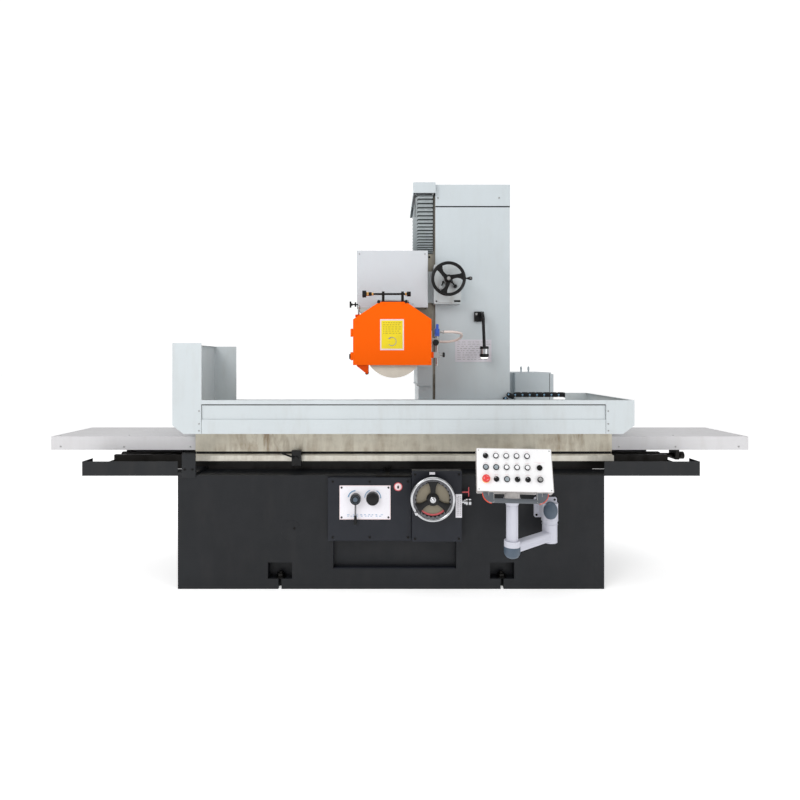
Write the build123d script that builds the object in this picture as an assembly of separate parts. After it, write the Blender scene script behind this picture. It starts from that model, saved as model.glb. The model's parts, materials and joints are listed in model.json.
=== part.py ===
from build123d import *
import math
import os

# Surface grinder: a reciprocating table on a long bed, and a wheelhead that hangs from a carriage on a
# column behind the table. Millimetres, +X to the operator's right, +Y away from the operator, +Z up.
# The origin is the centre of the bed's front footprint, on the floor.

# ---- driving dimensions ---------------------------------------------------------------------------
# bed
BED_LENGTH = 2500.0
BED_DEPTH = 840.0
BED_HEIGHT = 665.0
BED_WALL = 30.0
BED_FRONT_WALL = 90.0
BED_RIB = 26.0
BED_BAYS = 5
NECK_DEPTH = 430.0
NECK_HEIGHT = 50.0
WAY_LENGTH = 3440.0
WAY_HALF_WIDTH = 215.0
WAY_SLOT = 160.0
WAY_HEIGHT = 37.0
VEE_WIDTH = 80.0
VEE_DEPTH = 34.0
REAR_BED_WIDTH = 780.0
REAR_BED_X = 570.0
REAR_BED_DEPTH = 880.0
REAR_BED_HEIGHT = 850.0
ANCHOR_SPACING = 1300.0
REAR_ANCHOR_SPACING = 560.0
ANCHOR_R = 16.0
ANCHOR_INSET = 34.0
POCKET_WIDTH = 142.0
POCKET_HEIGHT = 95.0
POCKET_DEPTH = 62.0
POCKET_FLOOR = 60.0
POCKET_SLIT = 18.0
WINDOW_WIDTH = 720.0
WINDOW_HEIGHT = 165.0
WINDOW_BOTTOM = 117.0
WINDOW_DEPTH = 40.0
WINDOW_X = 22.0
TRAY_LENGTH = 560.0
TRAY_DEPTH = 560.0
TRAY_HEIGHT = 80.0
TRAY_APRON = 135.0
WIPER_WIDTH = 80.0
WIPER_REACH = 60.0
WIPER_DROP = 14.0
WIPER_RISE = 132.0
WIPER_THICK = 6.0
SHEET = 3.0

# front controls
COVER_WIDTH = 488.0
COVER_HEIGHT = 368.0
COVER_THICK = 25.0
COVER_LEFT = -368.0
COVER_BOTTOM = 288.0
GEARBOX_WIDTH = 288.0
GEARBOX_HEIGHT = 407.0
GEARBOX_THICK = 60.0
PLATE_WIDTH = 296.0
PLATE_HEIGHT = 197.0
PLATE_X = -151.0
PLATE_Z = 513.0
PLATE_THICK = 2.5
THROTTLE_X = -205.0
THROTTLE_Z = 538.0
SPEED_X = -106.0
SPEED_Z = 540.0
FEED_WHEEL_X = 235.0
FEED_WHEEL_Z = 556.0
FEED_WHEEL_R = 127.0
FEED_SHAFT_R = 15.0
CLUTCH_Z = 518.0

# table
TABLE_LENGTH = 2561.0
TABLE_WIDTH = 500.0
TABLE_THICK = 184.0
TABLE_X = 78.5
TABLE_LIFT = 4.0
SLOT_COUNT = 3
SLOT_PITCH = 140.0
SLOT_NECK = 18.0
SLOT_FOOT = 32.0
SLOT_NECK_DEPTH = 20.0
SLOT_DEPTH = 34.0
GROOVE_BOTTOM = 6.0
GROOVE_TOP = 22.0
GROOVE_DEPTH = 10.0
CHUCK_LENGTH = 1600.0
CHUCK_WIDTH = 480.0
CHUCK_THICK = 100.0
WING_LEFT_LENGTH = 895.0
WING_RIGHT_LENGTH = 846.0
WING_DEPTH = 480.0
WING_TOP = 869.0
WING_HEIGHT = 83.0
RAIL_HEIGHT = 34.0
RAIL_BOTTOM = 724.0
RAIL_PROUD = 30.0
CYLINDER_R = 34.0
CYLINDER_LENGTH = 1800.0
CYLINDER_Z = 714.0
ROD_R = 15.0
ROD_REACH = 1820.0
DOG_LEFT_X = -572.0
DOG_RIGHT_X = 862.0
DOG_WIDTH = 56.0

# splash trough, on the table
TROUGH_LEFT = -1283.0
TROUGH_RIGHT = 1428.0
TROUGH_FRONT = -412.0
TROUGH_BACK = 380.0
TROUGH_BOTTOM = 906.0
TROUGH_TOP = 1104.0
TROUGH_BACK_TOP = 1056.0
SCREEN_TOP = 1440.0
SCREEN_FRONT_WIDTH = 171.0
SCREEN_BACK_WIDTH = 161.0
END_FRONT_WIDTH = 168.0
BEVEL_RUN = 66.0
BEVEL_RISE = 50.0
CREASE_Z = 990.0

# column
COLUMN_LEFT = 334.0
COLUMN_RIGHT = 865.0
COLUMN_FRONT = 462.0
COLUMN_BACK = 1150.0
COLUMN_TOP = 2559.0
COLUMN_WALL = 25.0
COLUMN_FOOT = 40.0
RAIL_LEFT = 215.0
FRONT_RAIL_Y = 470.0
COLUMN_RAIL_DEPTH = 120.0
REAR_RAIL_Y = 950.0
SHELL_LEFT = 329.0
SHELL_RIGHT = 880.0
SHELL_FRONT = 450.0
SHELL_BACK = 1163.0
SHELL_SEAM_Z = 2481.0
SHELL_TOP = 2639.0
WAY_HOOD_SIDE = 51.0
WAY_HOOD_BOTTOM = 7.0
WAY_HOOD_TOP = 85.0
WAY_COVER_GAP = 24.0
SCREW_X = 275.0
SCREW_R = 25.0
RUNNING_GAP = 0.05
SLIDE_GAP = 0.4

# carriage
CARRIAGE_LEFT = -238.0
CARRIAGE_BEAM_RIGHT = 150.0
CARRIAGE_FRONT = 330.0
CARRIAGE_BACK = 1180.0
CARRIAGE_BOTTOM = 1721.0
CARRIAGE_TOP = 2120.0
SADDLE_BOTTOM = 1560.0
SADDLE_GIB = 38.0
SADDLE_REACH = 300.0
HOOD_FRONT = 310.0
HOOD_RIGHT = 266.0
CROSS_BOX_LEFT = 310.0
CROSS_BOX_RIGHT = 507.0
CROSS_BOX_BOTTOM = 1747.0
CROSS_BOX_TOP = 2030.0
CROSS_BOX_FRONT = 340.0
CROSS_BOX_BACK = 434.0
CROSS_WHEEL_X = 406.0
CROSS_WHEEL_Z = 1915.0
CROSS_WHEEL_Y = 250.0
CROSS_WHEEL_R = 123.0
CROSS_SHAFT_R = 12.0

# wheelhead
SPINDLE_X = 20.0
SPINDLE_Z = 1421.0
SPINDLE_R = 40.0
HOUSING_R = 105.0
MOTOR_R = 140.0
MOTOR_LENGTH = 410.0
MOTOR_FRONT = 820.0
DOVETAIL_NECK = 170.0
DOVETAIL_FLARE = 214.0
DOVETAIL_HEIGHT = 40.0
WHEEL_R = 200.0
WHEEL_BORE_R = 63.5
WHEEL_WIDTH = 40.0
WHEEL_FRONT = 95.0
FLANGE_R = 96.0
FLANGE_THICK = 16.0
GUARD_FRONT = 64.0
GUARD_BACK = 165.0
GUARD_LEFT = -254.0
GUARD_RIGHT = 272.0
GUARD_BOTTOM = 1307.0
GUARD_TOP = 1731.0
GUARD_SHOULDER = 1614.0
GUARD_CROWN_LEFT = -78.0
GUARD_CROWN_RIGHT = 103.0
GUARD_WALL = 5.0
DOOR_THICK = 4.0
DRESSER_Z = 1790.0
DRESSER_LEFT = 75.0
PIPE_X = 313.0
PIPE_Y = 115.0
PIPE_R = 8.0
VALVE_Z = 1532.0
HOSE_R = 9.0
HOSE_POINTS = [
    (345.0, 115.0, 1532.0),
    (492.0, 117.0, 1538.0),
    (490.0, 262.0, 1482.0),
    (330.0, 252.0, 1462.0),
    (172.0, 258.0, 1500.0),
]

# pendant
PENDANT_AXIS_X = 900.0
PENDANT_AXIS_Y = -520.0
POST_X = 640.0
POST_Y = -735.0
ARM_Z = 345.0
ARM_WIDTH = 58.0
ARM_HEIGHT = 52.0
POST_R = 31.0
POST_TOP = 596.0
ELBOW_R = 42.0
BOX_WIDTH = 394.0
BOX_FACE = 230.0
BOX_DEPTH = 96.0
BOX_TILT = 22.0
BOX_TURN = 6.0
BOX_X = 648.0
BOX_Y = -752.0
BOX_Z = 760.0
GRAB_LENGTH = 226.0
GRAB_R = 11.0
GRAB_DROP = 44.0
BUTTON_PITCH = 54.0
BUTTON_LEFT = -148.0
BUTTON_ROWS = (73.0, 12.0, -50.0)
BUTTON_EXTRA_X = 130.0
BUTTON_R = 13.5
BUTTON_HOLE_R = 11.2
BUTTON_STEM_R = 11.0

# lamp, cabinet, chain
LAMP_X = 664.0
LAMP_BASE_LEFT = 614.0
LAMP_BASE_RIGHT = 684.0
LAMP_Z = 1676.0
LAMP_DROP_X = 673.0
LAMP_DROP_Y = 345.0
CABINET_LEFT = 995.0
CABINET_RIGHT = 1286.0
CABINET_FRONT = 800.0
CABINET_BACK = 1250.0
CABINET_TOP = 1244.0
CHAIN_FRONT = 393.0
CHAIN_BACK = 438.0
CHAIN_TOP = 1107.0
CHAIN_LINK = 36.0
CHAIN_BEND_R = 90.0
CHAIN_BEND_X = 912.0
CHAIN_END_X = 1274.0

# ---- worked-out places ----------------------------------------------------------------------------
BED_FRONT = -BED_DEPTH / 2
BED_BACK = BED_DEPTH / 2
NECK_TOP = BED_HEIGHT + NECK_HEIGHT
WAY_TOP = NECK_TOP + WAY_HEIGHT
WAY_CENTRE = (WAY_HALF_WIDTH + WAY_SLOT / 2) / 2
TABLE_BOTTOM = WAY_TOP + TABLE_LIFT
TABLE_TOP = TABLE_BOTTOM + TABLE_THICK
TABLE_LEFT = TABLE_X - TABLE_LENGTH / 2
TABLE_RIGHT = TABLE_X + TABLE_LENGTH / 2
GEARBOX_LEFT = COVER_LEFT + COVER_WIDTH
GEARBOX_RIGHT = GEARBOX_LEFT + GEARBOX_WIDTH
GEARBOX_FRONT = BED_FRONT - GEARBOX_THICK
COVER_FRONT = BED_FRONT - COVER_THICK
RAIL_MID_Y = (FRONT_RAIL_Y + REAR_RAIL_Y + COLUMN_RAIL_DEPTH) / 2
HOUSING_BACK = MOTOR_FRONT
MOTOR_BACK = MOTOR_FRONT + MOTOR_LENGTH


def block(x0, x1, y0, y1, z0, z1):
    """A box between two corners."""
    centre = Pos((x0 + x1) / 2, (y0 + y1) / 2, (z0 + z1) / 2)
    return centre * Box(x1 - x0, y1 - y0, z1 - z0)


def rod_x(radius, x0, x1, y, z):
    """A round bar along X."""
    return Pos((x0 + x1) / 2, y, z) * Rot(0, 90, 0) * Cylinder(radius, x1 - x0)


def rod_y(radius, y0, y1, x, z):
    """A round bar along Y."""
    return Pos(x, (y0 + y1) / 2, z) * Rot(90, 0, 0) * Cylinder(radius, y1 - y0)


def rod_z(radius, z0, z1, x, y):
    """A round bar along Z."""
    return Pos(x, y, (z0 + z1) / 2) * Cylinder(radius, z1 - z0)


def ring_y(outer, inner, y0, y1, x, z):
    """A round washer or tube along Y."""
    return rod_y(outer, y0, y1, x, z) - rod_y(inner, y0 - 1, y1 + 1, x, z)


def prism_x(points, x0, x1):
    """A closed outline of (y, z) points, carried along X."""
    face = make_face(Polyline([(x0, y, z) for y, z in points], close=True))
    return extrude(face, amount=x1 - x0, dir=(1, 0, 0))


def prism_y(points, y0, y1):
    """A closed outline of (x, z) points, carried along Y."""
    face = make_face(Polyline([(x, y0, z) for x, z in points], close=True))
    return extrude(face, amount=y1 - y0, dir=(0, 1, 0))


def prism_z(points, z0, z1):
    """A closed outline of (x, y) points, carried along Z."""
    face = make_face(Polyline([(x, y, z0) for x, y in points], close=True))
    return extrude(face, amount=z1 - z0, dir=(0, 0, 1))


def soften(solid, axis, radius):
    """Rounds the edges that run along one axis."""
    return fillet(solid.edges().filter_by(axis), radius)


# ---- bed ------------------------------------------------------------------------------------------
def anchor_pocket(x, face_y, inward):
    """The cut for one anchor bolt: a pocket in a wall, a bolt hole in its floor and the slit in front."""
    y0, y1 = sorted((face_y, face_y + inward * POCKET_DEPTH))
    half = POCKET_WIDTH / 2
    pocket = block(x - half, x + half, y0, y1, POCKET_FLOOR, POCKET_FLOOR + POCKET_HEIGHT)
    hole_y = face_y + inward * ANCHOR_INSET
    s0, s1 = sorted((face_y, hole_y))
    slit = block(x - POCKET_SLIT / 2, x + POCKET_SLIT / 2, s0, s1, 0, POCKET_FLOOR)
    return pocket + rod_z(ANCHOR_R, 0, POCKET_FLOOR, x, hole_y) + slit


def make_bed_base():
    """The bed casting: a long front bed and a rear bed that carries the column, each hollow."""
    half = BED_LENGTH / 2
    front = soften(block(-half, half, BED_FRONT, BED_BACK, 0, BED_HEIGHT), Axis.Z, 8)
    rear_left = REAR_BED_X - REAR_BED_WIDTH / 2
    rear_right = REAR_BED_X + REAR_BED_WIDTH / 2
    rear_end = BED_BACK + REAR_BED_DEPTH
    rear = block(rear_left, rear_right, BED_BACK - BED_WALL, rear_end, 0, BED_HEIGHT)
    step = block(rear_left, rear_right, BED_BACK + 20, rear_end, BED_HEIGHT - 5, REAR_BED_HEIGHT)
    bed = front + rear + step
    bay = (BED_LENGTH - 2 * BED_WALL - (BED_BAYS - 1) * BED_RIB) / BED_BAYS
    for i in range(BED_BAYS):
        x0 = -half + BED_WALL + i * (bay + BED_RIB)
        y0, y1 = BED_FRONT + BED_FRONT_WALL, BED_BACK - BED_WALL
        bed -= block(x0, x0 + bay, y0, y1, BED_WALL, BED_HEIGHT - BED_WALL)
    bed -= block(
        rear_left + BED_WALL, rear_right - BED_WALL, BED_BACK + BED_WALL + 20, rear_end - BED_FRONT_WALL,
        BED_WALL, REAR_BED_HEIGHT - BED_WALL,
    )
    for side in (-1, 1):
        bed -= anchor_pocket(side * ANCHOR_SPACING / 2, BED_FRONT, 1)
        bed -= anchor_pocket(REAR_BED_X + side * REAR_ANCHOR_SPACING / 2, rear_end, -1)
    window = block(
        WINDOW_X - WINDOW_WIDTH / 2, WINDOW_X + WINDOW_WIDTH / 2, BED_FRONT, BED_FRONT + WINDOW_DEPTH,
        WINDOW_BOTTOM, WINDOW_BOTTOM + WINDOW_HEIGHT,
    )
    return bed - soften(window, Axis.Y, 6)


def make_bed_rails():
    """The way casting on the bed: a vee way at the front and a flat way at the back, with a slot between."""
    half = WAY_LENGTH / 2
    neck = block(-BED_LENGTH / 2, BED_LENGTH / 2, -NECK_DEPTH / 2, NECK_DEPTH / 2, BED_HEIGHT, NECK_TOP)
    ways = block(-half, half, -WAY_HALF_WIDTH, WAY_HALF_WIDTH, BED_HEIGHT, WAY_TOP)
    rails = neck + ways
    rails -= block(-half, half, -WAY_SLOT / 2, WAY_SLOT / 2, BED_HEIGHT + 10, WAY_TOP)
    vee = [
        (-WAY_CENTRE - VEE_WIDTH / 2, WAY_TOP), (-WAY_CENTRE, WAY_TOP - VEE_DEPTH),
        (-WAY_CENTRE + VEE_WIDTH / 2, WAY_TOP),
    ]
    return rails - prism_x(vee, -half, half)


def make_bed_trays():
    """Two open drip trays at the ends of the bed, the wiper housing by the left one and the chain's tray."""
    trays = []
    for side in (-1, 1):
        x0, x1 = sorted((side * BED_LENGTH / 2, side * (BED_LENGTH / 2 + TRAY_LENGTH)))
        y0, y1 = -TRAY_DEPTH / 2 - TRAY_APRON, TRAY_DEPTH / 2
        top = BED_HEIGHT + TRAY_HEIGHT
        bottom = BED_HEIGHT - SHEET - 1
        inside0, inside1 = sorted((side * BED_LENGTH / 2, side * (BED_LENGTH / 2 + TRAY_LENGTH - SHEET)))
        tray = block(x0, x1, y0, y1, bottom, top)
        tray -= block(inside0, inside1, y0 + SHEET, y1 - SHEET, bottom + SHEET, top)
        tray -= block(x0, x1, -TRAY_DEPTH / 2 - 20, TRAY_DEPTH / 2 - SHEET, BED_HEIGHT + 25, top)
        w0, w1 = -WAY_HALF_WIDTH - 1, WAY_HALF_WIDTH + 1
        trays.append(tray - block(-WAY_LENGTH / 2, WAY_LENGTH / 2, w0, w1, bottom - 1, top))
    right = TABLE_LEFT + WIPER_REACH
    z0, z1 = BED_HEIGHT - WIPER_DROP, BED_HEIGHT + WIPER_RISE
    wiper = block(right - WIPER_WIDTH, right, BED_FRONT - WIPER_THICK, BED_FRONT, z0, z1)
    neck_front = -NECK_DEPTH / 2 - 1
    wiper += block(-BED_LENGTH / 2 + 1, right, BED_FRONT, neck_front, BED_HEIGHT + 0.5, BED_HEIGHT + 16)
    return trays + [wiper, make_chain_tray()]


def make_front_cover():
    """The plate over the hydraulic valve block, with two bores for the valve spindles."""
    cover = block(
        COVER_LEFT, COVER_LEFT + COVER_WIDTH, COVER_FRONT, BED_FRONT,
        COVER_BOTTOM, COVER_BOTTOM + COVER_HEIGHT,
    )
    cover = chamfer(cover.faces().sort_by(Axis.Y)[0].edges(), 3)
    for x, z in ((THROTTLE_X, THROTTLE_Z), (SPEED_X, SPEED_Z)):
        cover -= rod_y(10 + RUNNING_GAP, COVER_FRONT - 1, BED_FRONT - 4, x, z)
    return cover


def make_control_plate():
    """The engraved plate behind the two valve knobs."""
    y0 = COVER_FRONT - PLATE_THICK
    plate = block(
        PLATE_X - PLATE_WIDTH / 2, PLATE_X + PLATE_WIDTH / 2, y0, COVER_FRONT,
        PLATE_Z - PLATE_HEIGHT / 2, PLATE_Z + PLATE_HEIGHT / 2,
    )
    plate = soften(plate, Axis.Y, 5)
    for x, z in ((THROTTLE_X, THROTTLE_Z), (SPEED_X, SPEED_Z)):
        plate -= rod_y(12, y0 - 1, COVER_FRONT + 1, x, z)
    return plate


def make_feed_gearbox():
    """The gear case of the vertical hand feed, with the bores of the handwheel shaft and the clutch."""
    bottom = COVER_BOTTOM + 7
    case = block(GEARBOX_LEFT, GEARBOX_RIGHT, GEARBOX_FRONT, BED_FRONT, bottom, bottom + GEARBOX_HEIGHT)
    case = soften(case, Axis.Y, 6)
    case = chamfer(case.faces().sort_by(Axis.Y)[0].edges(), 3)
    bore = FEED_SHAFT_R + RUNNING_GAP
    case -= rod_y(bore, GEARBOX_FRONT - 1, GEARBOX_FRONT + 42, FEED_WHEEL_X, FEED_WHEEL_Z)
    case -= rod_x(9 + RUNNING_GAP, GEARBOX_RIGHT - 45, GEARBOX_RIGHT + 1, BED_FRONT - 30, CLUTCH_Z)
    index = block(FEED_WHEEL_X - 17, FEED_WHEEL_X + 17, GEARBOX_FRONT - 20, GEARBOX_FRONT,
                  FEED_WHEEL_Z + FEED_WHEEL_R + 6, bottom + GEARBOX_HEIGHT - 2)
    return case + index


def make_proximity_switches():
    """Two stroke-end switches on a slotted bar, below the path of the table's dogs."""
    y0 = BED_FRONT - 4
    bar = block(-90, 100, y0, BED_FRONT, COVER_BOTTOM + COVER_HEIGHT + 0.5, BED_HEIGHT)
    arm = block(-32, -8, y0, BED_FRONT, BED_HEIGHT - 1, BED_HEIGHT + 1) + block(
        -32, -8, y0, -NECK_DEPTH / 2 - 20, BED_HEIGHT + 1, BED_HEIGHT + 5
    )
    sensors = [rod_z(8, BED_HEIGHT + 5, BED_HEIGHT + 19, x, -NECK_DEPTH / 2 - 40) for x in (-38, -6)]
    foot = block(-50, 6, -NECK_DEPTH / 2 - 52, -NECK_DEPTH / 2 - 28, BED_HEIGHT + 1, BED_HEIGHT + 5)
    return bar + arm + foot + sensors[0] + sensors[1]


# ---- hand controls --------------------------------------------------------------------------------
def make_throttle_lever():
    """The table start lever: a round knob with a rod and grip that hang down."""
    y0 = COVER_FRONT - PLATE_THICK
    lever = rod_y(10, y0, BED_FRONT - 6, THROTTLE_X, THROTTLE_Z)
    lever += rod_y(30, y0 - 40, y0 - 1, THROTTLE_X, THROTTLE_Z)
    lever += rod_y(11, y0 - 1, y0, THROTTLE_X, THROTTLE_Z)
    lever += rod_z(4, THROTTLE_Z - 96, THROTTLE_Z, THROTTLE_X, y0 - 26)
    grip = Pos(THROTTLE_X, y0 - 26, THROTTLE_Z - 119) * Cone(11, 7, 50)
    return lever + grip


def make_speed_knob():
    """The knurled knob of the table speed valve."""
    y0 = COVER_FRONT - PLATE_THICK
    knob = rod_y(10, y0, BED_FRONT - 6, SPEED_X, SPEED_Z) + rod_y(11, y0 - 1, y0, SPEED_X, SPEED_Z)
    knob += rod_y(37, y0 - 34, y0 - 1, SPEED_X, SPEED_Z)
    for i in range(24):
        a = math.radians(15 * i)
        knob -= rod_y(2.4, y0 - 34, y0 - 6, SPEED_X + 38.2 * math.cos(a), SPEED_Z + 38.2 * math.sin(a))
    return knob


def hand_wheel(x, y, z, radius, tube, shaft_r, shaft_y, hub_r, spokes, lean, spoke_w):
    """A spoked handwheel in the XZ plane, with its shaft running back to shaft_y."""
    rim = Pos(x, y, z) * Rot(90, 0, 0) * Torus(radius - tube, tube)
    wheel = rim + rod_y(hub_r, y - 14, y + 30, x, z) + rod_y(shaft_r, y + 30, shaft_y, x, z)
    for i in range(spokes):
        a = math.radians(lean + 360 / spokes * i)
        reach = radius - tube
        mid = Pos(x + reach / 2 * math.cos(a), y, z + reach / 2 * math.sin(a))
        wheel += mid * Rot(0, -math.degrees(a), 0) * Box(reach, 10, spoke_w)
    return wheel


def make_feed_handwheel():
    """The vertical feed handwheel, with its graduated collar against the gear case."""
    y = GEARBOX_FRONT - 74
    wheel = hand_wheel(
        FEED_WHEEL_X, y, FEED_WHEEL_Z, FEED_WHEEL_R, 8, FEED_SHAFT_R, GEARBOX_FRONT + 40, 26, 3, 90, 34
    )
    wheel += ring_y(FEED_WHEEL_R - 8, FEED_WHEEL_R - 26, y - 5, y + 9, FEED_WHEEL_X, FEED_WHEEL_Z)
    wheel += rod_y(46, y + 30, GEARBOX_FRONT - 1, FEED_WHEEL_X, FEED_WHEEL_Z)
    return wheel


def make_clutch_knob():
    """The push-pull knob that couples the hand feed to the elevating gear."""
    y = BED_FRONT - 30
    knob = rod_x(9, GEARBOX_RIGHT - 30, GEARBOX_RIGHT + 14, y, CLUTCH_Z)
    knob += rod_x(16, GEARBOX_RIGHT + 14, GEARBOX_RIGHT + 24, y, CLUTCH_Z)
    return knob + rod_x(22, GEARBOX_RIGHT + 24, GEARBOX_RIGHT + 54, y, CLUTCH_Z)


# ---- table ----------------------------------------------------------------------------------------
def make_table():
    """The table casting, with its vee and flat guide, T slots on top and a channel over the cylinder."""
    half = TABLE_WIDTH / 2
    table = block(TABLE_LEFT, TABLE_RIGHT, -half, half, TABLE_BOTTOM, TABLE_TOP)
    channel = WAY_SLOT / 2 - 20
    table -= block(TABLE_LEFT, TABLE_RIGHT, -channel, channel, TABLE_BOTTOM, TABLE_TOP - 70)
    groove0, groove1 = TABLE_BOTTOM + GROOVE_BOTTOM, TABLE_BOTTOM + GROOVE_TOP
    table -= block(TABLE_LEFT, TABLE_RIGHT, -half - 1, -half + GROOVE_DEPTH, groove0, groove1)
    gap = SLIDE_GAP
    vee = [
        (-WAY_CENTRE - VEE_WIDTH / 2 + gap, TABLE_BOTTOM), (-WAY_CENTRE - VEE_WIDTH / 2 + gap, WAY_TOP),
        (-WAY_CENTRE, WAY_TOP - VEE_DEPTH + gap), (-WAY_CENTRE + VEE_WIDTH / 2 - gap, WAY_TOP),
        (-WAY_CENTRE + VEE_WIDTH / 2 - gap, TABLE_BOTTOM),
    ]
    table += prism_x(vee, TABLE_LEFT, TABLE_RIGHT)
    table += block(TABLE_LEFT, TABLE_RIGHT, WAY_CENTRE - 45, WAY_CENTRE + 45, WAY_TOP + gap / 2, TABLE_BOTTOM)
    for i in range(SLOT_COUNT):
        y = (i - (SLOT_COUNT - 1) / 2) * SLOT_PITCH
        neck, foot = SLOT_NECK / 2, SLOT_FOOT / 2
        shelf = TABLE_TOP - SLOT_NECK_DEPTH
        table -= block(TABLE_LEFT, TABLE_RIGHT, y - neck, y + neck, shelf, TABLE_TOP)
        table -= block(TABLE_LEFT, TABLE_RIGHT, y - foot, y + foot, TABLE_TOP - SLOT_DEPTH, shelf)
    return table


def make_magnetic_chuck():
    """The magnetic chuck, clamped on the table by a lip at each end."""
    x0, x1 = TABLE_X - CHUCK_LENGTH / 2, TABLE_X + CHUCK_LENGTH / 2
    half = CHUCK_WIDTH / 2
    chuck = block(x0, x1, -half, half, TABLE_TOP, TABLE_TOP + CHUCK_THICK)
    return chuck + block(x0 - 30, x1 + 30, -half, half, TABLE_TOP, TABLE_TOP + 28)


def make_dog_rail():
    """The rail along the front of the table that the stroke dogs clamp on."""
    y0 = -TABLE_WIDTH / 2 - RAIL_PROUD
    rail = block(TABLE_LEFT, TABLE_RIGHT, y0, y0 + 12, RAIL_BOTTOM, RAIL_BOTTOM + RAIL_HEIGHT)
    lip_top = TABLE_BOTTOM + GROOVE_BOTTOM - 1
    web = block(TABLE_LEFT, TABLE_RIGHT, y0 + 12, -TABLE_WIDTH / 2, RAIL_BOTTOM + 14, RAIL_BOTTOM + 24)
    lip = block(TABLE_LEFT, TABLE_RIGHT, -TABLE_WIDTH / 2 - 6, -TABLE_WIDTH / 2, RAIL_BOTTOM + 24, lip_top)
    return rail + web + lip


def make_dog(x):
    """A stroke dog: a jaw over the front rail, a trip foot below it and a clamping lever."""
    rail_front = -TABLE_WIDTH / 2 - RAIL_PROUD
    y0 = rail_front - 34
    top = RAIL_BOTTOM + RAIL_HEIGHT
    dog = block(x - DOG_WIDTH / 2, x + DOG_WIDTH / 2, y0, rail_front - SLIDE_GAP, RAIL_BOTTOM - 26, top + 36)
    dog += block(x - DOG_WIDTH / 2, x + DOG_WIDTH / 2, y0, rail_front + 20, top + SLIDE_GAP, top + 22)
    dog = fillet(dog.edges().filter_by(Axis.X).sort_by(Axis.Y)[0:2], 3)
    dog += rod_y(11, y0 - 14, y0, x, top - 10)
    lever = Pos(x - 52, y0 - 8, top + 8) * Rot(0, 20, 0) * Rot(0, 90, 0) * Cylinder(5, 96)
    return dog + lever


def trough_end(side, edge, front_width, back_width, height, back_height):
    """One end of the splash trough: front, side and back plates over a bevelled foot, in one folded sheet."""
    inner_front = edge - side * front_width
    inner_back = edge - side * back_width
    outline = [
        (edge, height), (edge, TROUGH_BOTTOM + BEVEL_RISE), (edge - side * BEVEL_RUN, TROUGH_BOTTOM),
        (inner_front, TROUGH_BOTTOM), (inner_front, height),
    ]
    back_outline = [
        (edge, back_height), (edge, TROUGH_BOTTOM + BEVEL_RISE), (edge - side * BEVEL_RUN, TROUGH_BOTTOM),
        (inner_back, TROUGH_BOTTOM), (inner_back, back_height),
    ]
    front = prism_y(outline, TROUGH_FRONT, TROUGH_FRONT + SHEET)
    back = prism_y(back_outline, TROUGH_BACK - SHEET, TROUGH_BACK)
    x0, x1 = sorted((edge, edge - side * SHEET))
    wall = block(x0, x1, TROUGH_FRONT, TROUGH_BACK, TROUGH_BOTTOM + BEVEL_RISE, back_height)
    slope = prism_y(
        [
            (edge, TROUGH_BOTTOM + BEVEL_RISE), (edge - side * BEVEL_RUN, TROUGH_BOTTOM),
            (edge - side * BEVEL_RUN, TROUGH_BOTTOM + SHEET),
            (edge - side * SHEET, TROUGH_BOTTOM + BEVEL_RISE + 2),
        ],
        TROUGH_FRONT, TROUGH_BACK,
    )
    table_edge = TABLE_LEFT if side < 0 else TABLE_RIGHT
    f0, f1 = sorted((edge - side * BEVEL_RUN, table_edge))
    floor = block(f0, f1, TROUGH_FRONT, TROUGH_BACK, TROUGH_BOTTOM, TROUGH_BOTTOM + SHEET)
    rim0, rim1 = (x0, x0 + 14) if side < 0 else (x1 - 14, x1)
    flange = block(rim0, rim1, TROUGH_FRONT, TROUGH_BACK, back_height - SHEET, back_height)
    return front + back + wall + slope + floor + flange


def make_splash_trough():
    """The sheet trough round the table: front and back walls, a tall left screen and a low right end."""
    f = TROUGH_FRONT
    left_front, right_front = TROUGH_LEFT + SCREEN_FRONT_WIDTH, TROUGH_RIGHT - END_FRONT_WIDTH
    front_section = [
        (f, TROUGH_BOTTOM), (-TABLE_WIDTH / 2, TROUGH_BOTTOM), (-TABLE_WIDTH / 2, TROUGH_BOTTOM + SHEET),
        (f + SHEET, TROUGH_BOTTOM + SHEET), (f + SHEET, CREASE_Z - SHEET), (f + 9, CREASE_Z - SHEET),
        (f + 9, TROUGH_TOP), (f - 4, TROUGH_TOP), (f - 4, TROUGH_TOP - 24), (f + 6, TROUGH_TOP - 24),
        (f + 6, CREASE_Z), (f, CREASE_Z),
    ]
    front = prism_x(front_section, left_front, right_front)
    b = TROUGH_BACK
    back_section = [
        (b, TROUGH_BOTTOM), (b, TROUGH_BACK_TOP), (b - 18, TROUGH_BACK_TOP),
        (b - 18, TROUGH_BACK_TOP - SHEET),
        (b - SHEET, TROUGH_BACK_TOP - SHEET), (b - SHEET, TROUGH_BOTTOM + SHEET),
        (TABLE_WIDTH / 2, TROUGH_BOTTOM + SHEET), (TABLE_WIDTH / 2, TROUGH_BOTTOM),
    ]
    back = prism_x(back_section, TROUGH_LEFT + SCREEN_BACK_WIDTH, TROUGH_RIGHT - SCREEN_BACK_WIDTH)
    left = trough_end(-1, TROUGH_LEFT, SCREEN_FRONT_WIDTH, SCREEN_BACK_WIDTH, SCREEN_TOP, SCREEN_TOP)
    right = trough_end(1, TROUGH_RIGHT, END_FRONT_WIDTH, SCREEN_BACK_WIDTH, TROUGH_TOP, TROUGH_TOP)
    keep_out = front + back
    return [front, back, left - keep_out, right - keep_out]


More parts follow.
